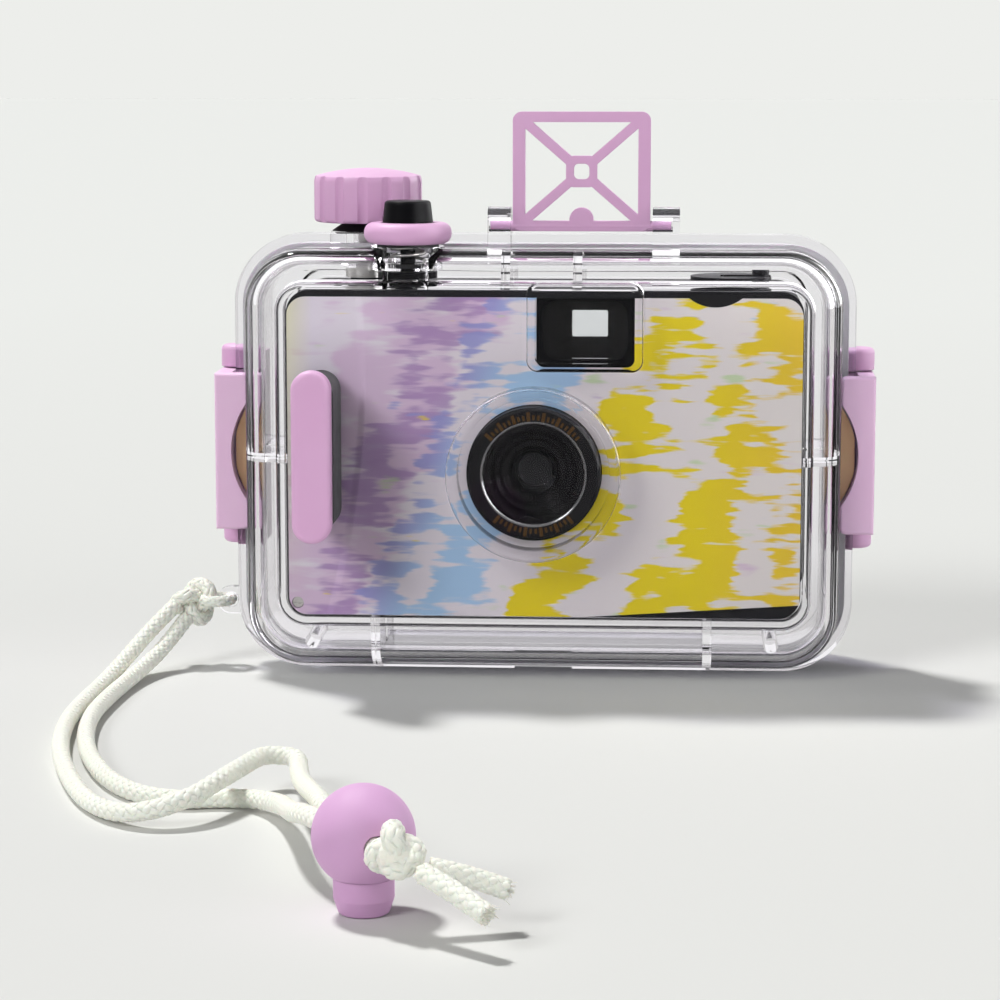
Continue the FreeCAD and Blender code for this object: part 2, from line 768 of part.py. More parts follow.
def make_wind_knob():
    knob = cyl_z(wind_x, wind_y, knob_z0, knob_z1, knob_r)
    knob = rounded(knob, edges_at_z(knob, knob_z1), knob_top_r)
    knob = rounded(knob, edges_at_z(knob, knob_z0), knob_low_r)
    dome = Part.makeSphere(knob_dome_r, V(wind_x, wind_y, knob_z1 - knob_dome_r))
    knob = knob.common(dome)
    flutes = []
    for i in range(knob_flutes):
        angle = 2 * math.pi * (i + 0.5) / knob_flutes
        fx = wind_x + (knob_r + flute_offset) * math.cos(angle)
        fy = wind_y + (knob_r + flute_offset) * math.sin(angle)
        flutes.append(cyl_z(fx, fy, knob_z0 - 1, knob_z1 + 1, knob_flute_r))
    knob = knob.cut(flutes[0].fuse(flutes[1:]))
    return knob.cut(cyl_z(wind_x, wind_y, knob_z0 - 1, knob_z0 + shaft_in_knob, wind_shaft_r))


def make_wind_shaft():
    """Shaft with the slotted driver at its lower end."""
    fork_top = wind_boss_low - run_gap
    shaft = cyl_z(wind_x, wind_y, fork_top - fork_h, knob_z0 + shaft_in_knob, wind_shaft_r)
    fork = cyl_z(wind_x, wind_y, fork_top - fork_h, fork_top, fork_r)
    shaft = join(shaft, [fork])
    slot = block(
        wind_x - fork_r - 1, wind_x + fork_r + 1, wind_y - fork_slot / 2, wind_y + fork_slot / 2,
        fork_top - fork_h - 1, fork_top - fork_h + fork_slot_deep)
    return shaft.cut(slot)


# Film camera

tunnel_x0 = finder_x - tunnel_w / 2 - tunnel_wall
tunnel_x1 = finder_x + tunnel_w / 2 + tunnel_wall
tunnel_z0 = finder_z - tunnel_h / 2 - tunnel_wall
tunnel_z1 = cam_z1 - cam_wall - 0.3


def finder_space(y0, y1):
    return block(tunnel_x0 - 0.1, tunnel_x1 + 0.1, y0, y1, tunnel_z0 - 0.1, tunnel_z1 + 0.1)


def camera_block(y0, y1, z0, z1):
    """Outer body of the camera with rounded ends, between two depths and two heights."""
    body = slab(cam_x0, cam_x1, cam_z0, cam_z1, cam_r, y0, y1)
    return body.common(block(cam_x0, cam_x1, y0, y1, z0, z1))


def inner_space(y0, y1, z0, z1):
    return block(cam_x0 + cam_wall, cam_x1 - cam_wall, y0, y1, z0, z1)


def make_front_cover():
    cover = camera_block(cam_front, cover_split_y, cam_z0, top_cover_z)
    cover = cover.cut(inner_space(
        cam_front + cam_wall, cover_split_y + 1, cam_z0 + cam_wall, top_cover_z + 1))
    cover = cover.cut(cyl_y(lens_x, lens_z, cam_front - 1, cam_front + 3, barrel_r + neck_step + shaft_gap))
    cover = cover.cut(finder_space(cam_front - 1, cover_split_y + 1))
    return cover.cut(cyl_y(screw_x, screw_z, cam_front - 1, cam_front + 3, screw_r))


def make_back_door():
    door = camera_block(cover_split_y + door_gap, cam_rear, cam_z0, top_cover_z)
    door = door.cut(inner_space(cover_split_y - 1, door_inner_y, cam_z0 + cam_wall, top_cover_z + 1))
    door = door.cut(finder_space(cover_split_y, cam_rear + 1))
    window = centred_slab(rewind_x, lens_z, film_window_w, film_window_h, 1.5, door_inner_y - 1, cam_rear + 1)
    return door.cut(window)


def make_top_cover():
    cover = camera_block(cam_front, cam_rear, top_cover_z + door_gap, cam_z1)
    cover = cover.cut(inner_space(
        cam_front + cam_wall, cam_rear - cam_wall, top_cover_z - 1, cam_z1 - cam_wall))
    cover = cover.cut(finder_space(cam_front - 1, cam_rear + 1))
    cover = cover.cut(cyl_z(button_x, button_y, cam_z1 - 3, cam_z1 + 1, camera_button_r + shaft_gap))
    cover = cover.cut(cyl_z(wind_x, wind_y, cam_z1 - 3, cam_z1 + 1, neck_r + shaft_gap))
    cover = cover.cut(cyl_z(rewind_x, rewind_y, cam_z1 - 3, cam_z1 + 1, neck_shaft_r + shaft_gap))
    cover = cover.cut(cyl_z(dial_x + 4.4, dial_y, cam_z1 - 3, cam_z1 + 1, 1.6))
    wheel_slot = cyl_z(wind_x, wind_y, wheel_z - run_gap, wheel_z + wheel_h + run_gap, wheel_r + run_gap)
    return cover.cut(wheel_slot)


def make_print_panel():
    """Printed sheet on the front cover; its lower edge rises a little towards the right end."""
    low = cam_z0 + panel_inset
    panel = slab(
        cam_x0 + panel_inset, cam_x1 - panel_inset, low, panel_top, panel_r, cam_front - panel_t, cam_front)
    rise_x = lens_x + panel_rise_start
    corners = [(rise_x, low), (cam_x1, low + panel_rise), (cam_x1, low - 1), (rise_x, low - 1), (rise_x, low)]
    wedge = Part.Face(Part.makePolygon([V(x, cam_front - 3, z) for x, z in corners]))
    panel = panel.cut(wedge.extrude(V(0, 4, 0)))
    panel = panel.cut(cyl_y(lens_x, lens_z, cam_front - 3, cam_front + 3, bezel_r + 0.2))
    panel = panel.cut(slab(
        tunnel_x0 + frame_lap, tunnel_x1 - frame_lap, tunnel_z0 + frame_lap, panel_top + 2 * finder_corner_r,
        finder_corner_r, cam_front - 3, cam_front + 1))
    panel = panel.cut(cyl_y(notch_x, panel_top + notch_up, cam_front - 3, cam_front + 1, notch_r))
    return panel.cut(cyl_y(screw_x, screw_z, cam_front - 3, cam_front + 1, screw_r + 0.1))


def make_cover_screw():
    head = cyl_y(screw_x, screw_z, cam_front, cam_front + cam_wall + panel_t, screw_r)
    slot = block(screw_x - 0.9, screw_x + 0.9, cam_front - 1, cam_front + 0.4, screw_z - 0.15, screw_z + 0.15)
    return head.cut(slot)


def eyepiece_disc(y1):
    return centred_slab(finder_x, eyepiece_z, eye_w + 2.0, eye_h + 2.0, 0.8, cam_rear - 1.2, y1)


def make_finder_tunnel():
    """Black tunnel that narrows from the front window to the small window behind."""
    outer = block(tunnel_x0, tunnel_x1, cam_front, cam_rear, tunnel_z0, tunnel_z1)
    front = outline(
        finder_x - tunnel_w / 2 + 0.2, finder_x + tunnel_w / 2 - 0.2,
        finder_z - tunnel_h / 2 + 0.2, finder_z + tunnel_h / 2 - 0.2, 3.2, cam_front)
    rear = outline(
        finder_x - eye_w / 2, finder_x + eye_w / 2,
        eyepiece_z - eye_h / 2, eyepiece_z + eye_h / 2, 0.4, cam_rear - 3.0)
    hollow = Part.makeLoft([front, rear], True, True)
    eye = centred_slab(finder_x, eyepiece_z, eye_w, eye_h, 0.4, cam_rear - 3.2, cam_rear + 1)
    tunnel = outer.cut(hollow).cut(eye)
    tunnel = tunnel.cut(eyepiece_disc(cam_rear + 1))
    return tunnel.cut(make_finder_lens())


def make_finder_lens():
    return centred_slab(
        finder_x, finder_z, tunnel_w - 1.0, tunnel_h - 1.0, 2.9, cam_front + 0.8, cam_front + 2.0)


def make_eyepiece_lens():
    return eyepiece_disc(cam_rear - 0.2)


def film_chambers():
    """Spaces for the take-up spool and for the film cassette, open to the back."""
    take_up = block(chassis_x0 + 2.0, wind_x + spool_space_r, 1.5, chassis_rear + 1, film_z0, film_z1)
    cassette = cyl_z(rewind_x - cassette_shift, rewind_y, film_z0, film_z1, cassette_r)
    middle = rewind_x - cassette_shift
    mouth = block(middle - cassette_r, middle + cassette_r, rewind_y, chassis_rear + 1, film_z0, film_z1)
    return [take_up, cassette.fuse(mouth)]


def make_chassis():
    chassis = block(chassis_x0, chassis_x1, chassis_front, chassis_rear, chassis_z0, chassis_z1)
    for space in film_chambers():
        chassis = chassis.cut(space)
    chassis = chassis.cut(cyl_z(sprocket_x, sprocket_y, film_z0, film_z1, sprocket_tooth_r + 0.5))
    chassis = chassis.cut(block(
        tunnel_x0 - run_gap, tunnel_x1 + run_gap, chassis_front - 1, chassis_rear + 1,
        tunnel_z0 - run_gap, chassis_z1 + 1))
    gate = centred_slab(lens_x, lens_z, gate_w, gate_h, 0.5, chassis_rear - 1.0, chassis_rear + 1)
    chassis = chassis.cut(gate)
    dark_box = centred_slab(
        lens_x, lens_z, dark_box_w, dark_box_h, 0.5, chassis_front - 1, chassis_rear - 0.9)
    chassis = chassis.cut(dark_box)
    chassis = chassis.cut(cyl_z(wind_x, wind_y, film_z1 - 1, chassis_z1 + 1, neck_shaft_r + shaft_gap))
    chassis = chassis.cut(cyl_z(wind_x, wind_y, film_z0 - 1.5, film_z0 + 1, pivot_r + shaft_gap))
    chassis = chassis.cut(cyl_z(sprocket_x, sprocket_y, film_z1 - 1, chassis_z1 + 1, pivot_r + shaft_gap))
    chassis = chassis.cut(cyl_z(sprocket_x, sprocket_y, film_z0 - 1.5, film_z0 + 1, pivot_r + shaft_gap))
    chassis = chassis.cut(cyl_z(rewind_x, rewind_y, film_z1 - 1, chassis_z1 + 1, neck_shaft_r + shaft_gap))
    dial_post = cyl_z(dial_x, dial_y, chassis_z1 - 0.5, dial_z + 1.4, 1.2)
    return join(chassis, [dial_post])


def make_lens_board():
    """Board that closes the dark box in front, round a mouth for the light."""
    board = centred_slab(
        lens_x, lens_z, dark_box_w - 2 * shaft_gap, dark_box_h - 2 * shaft_gap, 0.5,
        chassis_front, chassis_front + dark_box_wall)
    return board.cut(cyl_y(
        lens_x, lens_z, chassis_front - 1, chassis_front + dark_box_wall + 1, dark_box_mouth_r))


def make_take_up_spool():
    """Spool in the chamber with its shaft up to the wheel and to the key at the top."""
    spool = cyl_z(wind_x, wind_y, film_z0 + run_gap, film_z1 - run_gap, spool_r)
    for i in range(3):
        slot = block(-0.6, 0.6, spool_r - 1.4, spool_r + 1, film_z0 + 8, film_z1 - 8)
        slot.rotate(V(0, 0, 0), Z_DIR, 120 * i)
        slot.translate(V(wind_x, wind_y, 0))
        spool = spool.cut(slot)
    pivot = cyl_z(wind_x, wind_y, film_z0 - 1.2, film_z0 + 1, pivot_r)
    shaft = cyl_z(wind_x, wind_y, film_z1 - 1, wheel_z + wheel_h, neck_shaft_r)
    neck = cyl_z(wind_x, wind_y, wheel_z + wheel_h, cam_z1 + run_gap, neck_r)
    key_z1 = wind_boss_low - run_gap - fork_h + fork_slot_deep - run_gap
    key = block(
        wind_x - key_len / 2, wind_x + key_len / 2, wind_y - key_t / 2, wind_y + key_t / 2,
        cam_z1 + 0.2, key_z1)
    return join(spool, [pivot, shaft, neck, key])


def make_advance_wheel():
    wheel = cyl_z(wind_x, wind_y, wheel_z, wheel_z + wheel_h, wheel_r)
    notches = []
    for i in range(wheel_notches):
        angle = 2 * math.pi * i / wheel_notches
        nx = wind_x + (wheel_r + 0.25) * math.cos(angle)
        ny = wind_y + (wheel_r + 0.25) * math.sin(angle)
        notches.append(cyl_z(nx, ny, wheel_z - 1, wheel_z + wheel_h + 1, wheel_notch_r))
    wheel = wheel.cut(notches[0].fuse(notches[1:]))
    return wheel.cut(cyl_z(wind_x, wind_y, wheel_z - 1, wheel_z + wheel_h + 1, neck_shaft_r))


def make_sprocket():
    shaft = cyl_z(sprocket_x, sprocket_y, film_z0 - 1.2, dial_z - 0.8, pivot_r)
    parts = []
    for z in (lens_z - perforation_half, lens_z + perforation_half):
        parts.append(cyl_z(sprocket_x, sprocket_y, z - 1.4, z + 1.4, sprocket_root_r))
        for i in range(sprocket_teeth):
            tooth = block(sprocket_root_r - 0.5, sprocket_tooth_r, -0.5, 0.5, z - 0.7, z + 0.7)
            tooth.rotate(V(0, 0, 0), Z_DIR, 360 * i / sprocket_teeth)
            tooth.translate(V(sprocket_x, sprocket_y, 0))
            parts.append(tooth)
    parts.append(cyl_z(sprocket_x, sprocket_y, dial_z - 2.4, dial_z - 0.8, 2.6))
    return join(shaft, parts)


def make_counter_dial():
    dial = cyl_z(dial_x, dial_y, dial_z, dial_z + 1.0, dial_r)
    hub = cyl_z(dial_x, dial_y, chassis_z1 + run_gap, dial_z + 1.0, 2.4)
    dial = join(dial, [hub])
    return dial.cut(cyl_z(dial_x, dial_y, chassis_z1 - 1, dial_z + 2, 1.2 + shaft_gap))


def make_counter_window():
    return cyl_z(dial_x + 4.4, dial_y, cam_z1 - cam_wall, cam_z1, 1.6)


def make_rewind_shaft():
    """Shaft with the fork that turns the cassette's core."""
    shaft = cyl_z(rewind_x, rewind_y, film_z1 - 6.0, cam_z1 + 0.5, neck_shaft_r)
    fork = block(
        rewind_x - 2.2, rewind_x + 2.2, rewind_y - 0.6, rewind_y + 0.6, film_z1 - 9.0, film_z1 - 5.0)
    return join(shaft, [fork])


def make_rewind_crank():
    """Round knob on top of the camera with its folded handle."""
    z0 = cam_z1 + run_gap
    disc = cyl_z(rewind_x, rewind_y, z0, z0 + 1.7, crank_r)
    disc = disc.cut(block(
        rewind_x - 2.2, rewind_x + crank_r, rewind_y - 2.2, rewind_y + 2.2, z0 + 0.8, z0 + 3))
    handle = block(
        rewind_x - 1.6, rewind_x + crank_r - 1.6, rewind_y - 1.7, rewind_y + 1.7, z0 + 0.8, z0 + 2.0)
    grip = cyl_z(rewind_x + crank_r - 2.4, rewind_y, z0 + 0.8, z0 + 3.4, 1.7)
    crank = join(disc, [handle, grip])
    return crank.cut(cyl_z(rewind_x, rewind_y, z0 - 1, cam_z1 + 0.5, neck_shaft_r))


def make_pressure_plate():
    return centred_slab(lens_x, lens_z, gate_w + 8, gate_h + 10, 1.5, chassis_rear + 0.3, chassis_rear + 1.1)


def make_plate_spring():
    """Leaf spring between the pressure plate and the door: a shallow bow."""
    y0 = chassis_rear + 1.1
    y1 = door_inner_y
    half = 14.0
    top = Part.Arc(V(-half, y0, 0), V(0, y1 - 0.35, 0), V(half, y0, 0)).toShape()
    bow = Part.Arc(V(half, y0 + 0.35, 0), V(0, y1, 0), V(-half, y0 + 0.35, 0)).toShape()
    right = Part.LineSegment(V(half, y0, 0), V(half, y0 + 0.35, 0)).toShape()
    left = Part.LineSegment(V(-half, y0 + 0.35, 0), V(-half, y0, 0)).toShape()
    leaf = Part.Face(Part.Wire([top, right, bow, left])).extrude(V(0, 0, 6.0))
    leaf.translate(V(lens_x, 0, lens_z - 3.0))
    return leaf


def make_door_pin():
    return cyl_z(cam_x1 - cam_wall - 1.05, door_inner_y - 1.05, cam_z0 + cam_wall, top_cover_z - 0.2, 0.95)


def make_camera_button():
    """Camera's own button: a round cap with the rod that trips the shutter."""
    top = foot_top - foot_h - run_gap
    cap = cyl_z(button_x, button_y, cam_z1 - 3.4, top, camera_button_r)
    cap = rounded(cap, edges_at_z(cap, top), 0.6)
    rod = block(button_x - 1.0, button_x + 1.0, rod_y0, rod_y1, lens_z - 2.0, cam_z1 - 4.0)
    bridge = block(button_x - 1.0, button_x + 1.0, rod_y0, button_y, cam_z1 - 5.0, cam_z1 - 3.2)
    arm = block(button_x - 1.0, lens_x - shutter_plate_w / 2 - 0.1, rod_y0, rod_y1, lens_z - 2.0, lens_z)
    return join(cap, [rod, bridge, arm])


# Lens and shutter on the lens axis

def make_bezel():
    """Wide black ring round the lens with its rounded inner edge."""
    collar = barrel_r + 1.5 * neck_step
    points = [
        (collar, cam_front), (bezel_r, cam_front), (bezel_r, bezel_front + bezel_edge),
        (bezel_r - bezel_edge, bezel_front), (bezel_inner_r, bezel_front),
        (bezel_inner_r, bezel_front + 1.6), (collar, bezel_front + 1.6)]
    bezel = lathe_y(points, lens_x, lens_z)
    inner = [e for e in edges_at_y(bezel, bezel_front) if e.BoundBox.ZLength < 2 * bezel_r - 2 * bezel_edge - 1]
    return rounded(bezel, inner, bezel_round)


def make_barrel():
    """Stepped cone that leads in to the lens."""
    neck = barrel_r + neck_step
    collar = barrel_r + 1.5 * neck_step
    points = [
        (glass_r, barrel_rear), (neck, barrel_rear), (neck, cam_front - 0.1), (collar, cam_front - 0.1),
        (collar, barrel_front), (barrel_r - 0.4, barrel_front), (barrel_r - 1.4, barrel_front + 1.4),
        (barrel_r - 2.0, barrel_front + 1.4), (barrel_r - 2.8, barrel_front + 2.4),
        (barrel_r - 3.8, barrel_front + 2.4), (glass_r, barrel_front + 3.2)]
    return lathe_y(points, lens_x, lens_z)


def lens_disc(y_mid, r, bulge, edge):
    """Double-convex disc."""
    radius = (r * r + bulge * bulge) / (2 * bulge)
    front = Part.makeSphere(radius, V(lens_x, y_mid - edge / 2 - bulge + radius, lens_z))
    rear = Part.makeSphere(radius, V(lens_x, y_mid + edge / 2 + bulge - radius, lens_z))
    body = cyl_y(lens_x, lens_z, y_mid - edge - bulge, y_mid + edge + bulge, r)
    return body.common(front).common(rear)


def make_front_element():
    return lens_disc(glass_back, glass_r - 0.02, 0.7, 0.8)


def make_rear_element():
    return lens_disc(rear_glass_back, rear_glass_r, 0.5, 0.8)


def make_shutter_plate():
    """Plate on the front of the chassis with the stop opening and the blade's post."""
    plate_y = chassis_front - shutter_plate_t
    plate = centred_slab(lens_x, lens_z, shutter_plate_w, shutter_plate_w, 2.0, plate_y, chassis_front)
    tube = cyl_y(lens_x, lens_z, chassis_front, rear_glass_back + 1.0, shutter_tube_r)
    tube = tube.cut(cyl_y(lens_x, lens_z, chassis_front - 1, rear_glass_back + 1.4, rear_glass_r))
    plate = join(plate, [tube])
    plate = plate.cut(cyl_y(lens_x, lens_z, plate_y - 1, chassis_front + 0.1, stop_r))
    post = cyl_y(
        lens_x + blade_pivot_dx, lens_z + blade_pivot_dz, blade_y0 - 0.1, plate_y + 0.4, blade_post_r)
    return join(plate, [post])


def make_shutter_blade():
    """Thin blade that covers the stop opening and swings aside on its post."""
    px = lens_x + blade_pivot_dx
    pz = lens_z + blade_pivot_dz
    y0 = blade_y0
    y1 = blade_y1
    disc = cyl_y(lens_x, lens_z, y0, y1, blade_r)
    hub = cyl_y(px, pz, y0, y1, 1.5)
    length = math.hypot(blade_pivot_dx, blade_pivot_dz)
    arm = block(0, length, y0, y1, -1.0, 1.0)
    arm.rotate(V(0, 0, 0), Y_DIR, -math.degrees(math.atan2(blade_pivot_dz, blade_pivot_dx)))
    arm.translate(V(lens_x, 0, lens_z))
    blade = join(disc, [hub, arm])
    return blade.cut(cyl_y(px, pz, y0 - 1, y1 + 1, blade_post_r + shaft_gap))


# Wrist cord

def cord_path(points):
    """Straight runs joined by arcs that touch both; the corners are the given points."""
    corners = [V(*p) for p in points]
    edges = []
    radii = []
    at = corners[0]
    for i in range(1, len(corners) - 1):
        back = corners[i - 1].sub(corners[i])
        ahead = corners[i + 1].sub(corners[i])
        shorter = min(back.Length, ahead.Length)
        turn = math.pi - back.getAngle(ahead)
        cut = 0.45 * shorter
        radii.append(cut / math.tan(turn / 2))
        back.normalize()
        ahead.normalize()
        start = corners[i].add(back.multiply(cut))
        end = corners[i].add(ahead.multiply(cut))
        back.normalize()
        ahead.normalize()
        bisector = back.add(ahead)
        bisector.normalize()
        radius = radii[-1]
        centre = corners[i].add(V(bisector).multiply(radius / math.cos(turn / 2)))
        middle = centre.sub(V(bisector).multiply(radius))
        edges.append(Part.LineSegment(at, start).toShape())
        edges.append(Part.Arc(start, middle, end).toShape())
        at = end
    edges.append(Part.LineSegment(at, corners[-1]).toShape())
    return Part.Wire(edges), radii


def cord(name, points):
    path, radii = cord_path(points)
    first = path.Edges[0]
    tangent = first.tangentAt(first.FirstParameter)
    section = Part.Wire([Part.Circle(V(*points[0]), tangent, cord_d / 2).toShape()])
    tube = path.makePipeShell([section], True, False)
    expected = math.pi * cord_d * cord_d / 4 * path.Length
    print(name, "length", round(path.Length, 1), "volume ratio", round(tube.Volume / expected, 3))
    print(name, "least radius", round(min(radii), 1), "in diameters", round(min(radii) / cord_d, 2))
    return tube


floor_z = cord_d / 2
strand_a_points = [
    (-75.3, -4.2, 12.6), (-79.1, -8.8, 9.0), (-83.0, -17.2, 4.4), (-85.4, -30.5, floor_z),
    (-86.1, -48.0, floor_z), (-85.8, -66.0, floor_z), (-82.2, -89.0, floor_z), (-75.0, -112.0, floor_z),
    (-69.6, -124.4, floor_z), (-63.4, -132.4, 2.0), (-57.2, -134.8, 3.2), (-51.2, -131.8, 4.8),
    (-47.6, -124.6, 6.1), (-45.0, -114.4, 6.1), (-43.3, -106.2, 5.9), (-37.2, -106.0, 5.6),
    (-36.0, -114.5, 5.4), (-34.2, -126.0, 6.4), (-31.0, -141.5, 8.9), (-28.0, -154.0, 10.8),
    (-25.32, -164.99, 11.5), (-19.85, -173.36, 11.5)]
strand_b_points = [
    (-73.1, -4.4, 9.9), (-76.2, -9.2, 5.6), (-79.2, -17.0, 2.7), (-81.2, -29.0, floor_z),
    (-82.2, -45.0, floor_z), (-82.2, -62.0, floor_z), (-78.6, -84.0, floor_z), (-71.6, -104.5, floor_z),
    (-64.2, -116.8, floor_z), (-56.2, -121.8, floor_z), (-48.0, -119.6, floor_z), (-41.6, -121.6, 2.0),
    (-37.0, -129.6, 3.4), (-33.8, -142.5, 5.6), (-31.6, -155.8, 8.8), (-28.13, -166.83, 11.5),
    (-22.66, -175.20, 11.5)]


def make_lug_knot():
    """Knot of the cord beside the lug, with the loop that passes through the lug's hole."""
    cx, cy, cz = lug_knot_at
    knot = Part.makeSphere(lug_knot_r, V(cx, cy, cz))
    loop = Part.makeTorus(lug_loop_r, lug_loop_thick, V(lug_x - lug_loop_r, lug_y, lug_z), Z_DIR)
    return knot.fuse(loop)


def make_end_knot():
    knot = Part.makeSphere(end_knot_r, V(*end_knot_at))
    return knot.cut(Part.makeSphere(ball_r + 0.05, V(ball_at[0], ball_at[1], ball_z)))


def tail_points(end):
    cx, cy, cz = end_knot_at
    way = V(end[0] - cx, end[1] - cy, end[2] - cz)
    way.normalize()
    start = V(cx, cy, cz).add(way.multiply(end_knot_r - 0.1))
    middle = ((start.x + end[0]) / 2, (start.y + end[1]) / 2, (start.z + end[2]) / 2 + 0.5)
    return [(start.x, start.y, start.z), middle, end]


def cross_hole():
    """Space for the two cords through the ball, on the line from the ball to the end knot."""
    bx, by = ball_at
    half = cord_hole_h / 2
    hole = slab(
        -cord_hole_w / 2, cord_hole_w / 2, ball_z - half, ball_z + half, half - 0.05, -ball_r - 1, ball_r + 1)
    turn = math.degrees(math.atan2(end_knot_at[1] - by, end_knot_at[0] - bx)) - 90
    hole.rotate(V(0, 0, 0), Z_DIR, turn)
    hole.translate(V(bx, by, 0))
    return hole


def make_stopper_ball():
    """Ball with the cross hole for the two cords and the blind well for its plunger and spring."""
    bx, by = ball_at
    ball = Part.makeSphere(ball_r, V(bx, by, ball_z))
    ball = ball.cut(cross_hole())
    ball = ball.cut(cyl_z(bx, by, 0, plunger_top + plunger_travel + run_gap, plunger_r + plunger_gap))
    return ball.cut(cyl_z(bx, by, plunger_top, stopper_spring_top, stopper_spring_r + run_gap))


def make_stopper_plunger():
    """Round pusher in the ball, tapered at its foot, with the hole that grips the cords."""
    bx, by = ball_at
    foot = cone_z(bx, by, 0, plunger_foot_r, plunger_taper_h, plunger_r)
    stem = cyl_z(bx, by, plunger_taper_h, plunger_top, plunger_r)
    plunger = join(foot, [stem])
    plunger = rounded(plunger, edges_at_z(plunger, 0), 0.6)
    return plunger.cut(cross_hole())


def make_stopper_spring():
    bx, by = ball_at
    ring = cyl_z(bx, by, plunger_top, stopper_spring_top, stopper_spring_r)
    return ring.cut(cyl_z(bx, by, plunger_top - 1, stopper_spring_top + 1, stopper_spring_r - 0.6))


# All pieces, each written under its own name

pieces = {
    "front_shell": make_front_shell(),
    "rear_shell": make_rear_shell(),
    "shell_gasket": gasket_ring(gasket_half, -2 * shaft_gap),
    "latch_left": make_latch(),
    "latch_right": mirrored_x(make_latch()),
    "latch_bracket_left": make_bracket(),
    "latch_bracket_right": mirrored_x(make_bracket()),
    "latch_pin_left": make_latch_pin(),
    "latch_pin_right": mirrored_x(make_latch_pin()),
    "latch_pad_left": make_latch_pad(),
    "latch_pad_right": mirrored_x(make_latch_pad()),
    "grip_block": make_grip_block(),
    "grip_cap": make_grip_cap(),
    "sight_frame": make_sight(),
    "button_cap": make_button_cap(),
    "button_plunger": make_button_plunger(),
    "button_collar": make_button_collar(),
    "button_washer": make_button_washer(),
    "button_spring": make_button_spring(),
    "button_seal": make_button_seal(),
    "wind_knob": make_wind_knob(),
    "wind_shaft": make_wind_shaft(),
    "wind_washer": make_wind_washer(),
    "camera_chassis": make_chassis(),
    "front_cover": make_front_cover(),
    "top_cover": make_top_cover(),
    "back_door": make_back_door(),
    "door_pin": make_door_pin(),
    "print_panel": make_print_panel(),
    "cover_screw": make_cover_screw(),
    "finder_tunnel": make_finder_tunnel(),
    "finder_lens": make_finder_lens(),
    "eyepiece_lens": make_eyepiece_lens(),
    "lens_bezel": make_bezel(),
    "lens_barrel": make_barrel(),
    "front_element": make_front_element(),
    "rear_element": make_rear_element(),
    "lens_board": make_lens_board(),
    "shutter_plate": make_shutter_plate(),
    "shutter_blade": make_shutter_blade(),
    "camera_button": make_camera_button(),
    "take_up_spool": make_take_up_spool(),
    "advance_wheel": make_advance_wheel(),
    "sprocket_shaft": make_sprocket(),
    "counter_dial": make_counter_dial(),
    "counter_window": make_counter_window(),
    "rewind_shaft": make_rewind_shaft(),
    "rewind_crank": make_rewind_crank(),
    "pressure_plate": make_pressure_plate(),
    "plate_spring": make_plate_spring(),
    "lug_knot": make_lug_knot(),
    "strap_strand_a": cord("strand a", strand_a_points),
    "strap_strand_b": cord("strand b", strand_b_points),
    "stopper_ball": make_stopper_ball(),
    "stopper_plunger": make_stopper_plunger(),
    "stopper_spring": make_stopper_spring(),
    "end_knot": make_end_knot(),
    "strap_tail_a": cord("tail a", tail_points((3.0, -186.4, 6.0))),
    "strap_tail_b": cord("tail b", tail_points((1.0, -199.6, 6.0))),
}

os.makedirs("parts", exist_ok=True)
for name, shape in pieces.items():
    if not shape.isValid() or len(shape.Solids) != 1:
        print("look at", name, "valid", shape.isValid(), "solids", len(shape.Solids))
    solid = shape.Solids[0] if len(shape.Solids) == 1 else shape
    solid.exportStep("parts/" + name + ".step")
print(len(pieces), "pieces")
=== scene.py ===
# %% [markdown]
# # An underwater camera on its wrist cord
# The object is a simple film camera in a clear housing, with a braided cord.
# Its solids are loaded first, and everything here is placed by their measures, in metres.
# What is modelled here is what solids can't show: braid, knots, print and finishes.

# %% Load the solids
import bpy
import math
import numpy as np
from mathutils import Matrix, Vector


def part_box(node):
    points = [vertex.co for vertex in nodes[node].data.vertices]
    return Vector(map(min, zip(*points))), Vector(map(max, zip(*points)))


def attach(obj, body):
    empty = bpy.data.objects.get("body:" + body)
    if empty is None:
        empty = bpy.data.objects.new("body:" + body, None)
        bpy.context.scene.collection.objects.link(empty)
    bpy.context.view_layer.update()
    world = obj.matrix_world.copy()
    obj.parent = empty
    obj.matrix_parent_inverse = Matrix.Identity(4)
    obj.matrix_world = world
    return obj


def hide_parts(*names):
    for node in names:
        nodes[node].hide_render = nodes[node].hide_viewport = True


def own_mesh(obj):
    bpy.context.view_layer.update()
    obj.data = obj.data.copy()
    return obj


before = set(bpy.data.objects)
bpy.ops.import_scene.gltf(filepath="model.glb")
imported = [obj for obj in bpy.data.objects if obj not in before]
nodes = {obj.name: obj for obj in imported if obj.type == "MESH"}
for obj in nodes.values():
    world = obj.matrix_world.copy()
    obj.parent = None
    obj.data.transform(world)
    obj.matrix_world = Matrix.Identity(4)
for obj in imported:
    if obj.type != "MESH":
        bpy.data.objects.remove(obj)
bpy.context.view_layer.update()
mm = 0.001

# %% [markdown]
# ## The camera that looks at the object
# The photograph was taken with a long lens from a little above and a little to the right.
# Its distance, height and aim were found by matching the housing's corners and the cord.
# A ray that goes through the housing meets twenty or more clear faces, so the renderer may
# follow a ray through 32 of them, and shadow rays as well. With fewer, clear walls turn black.

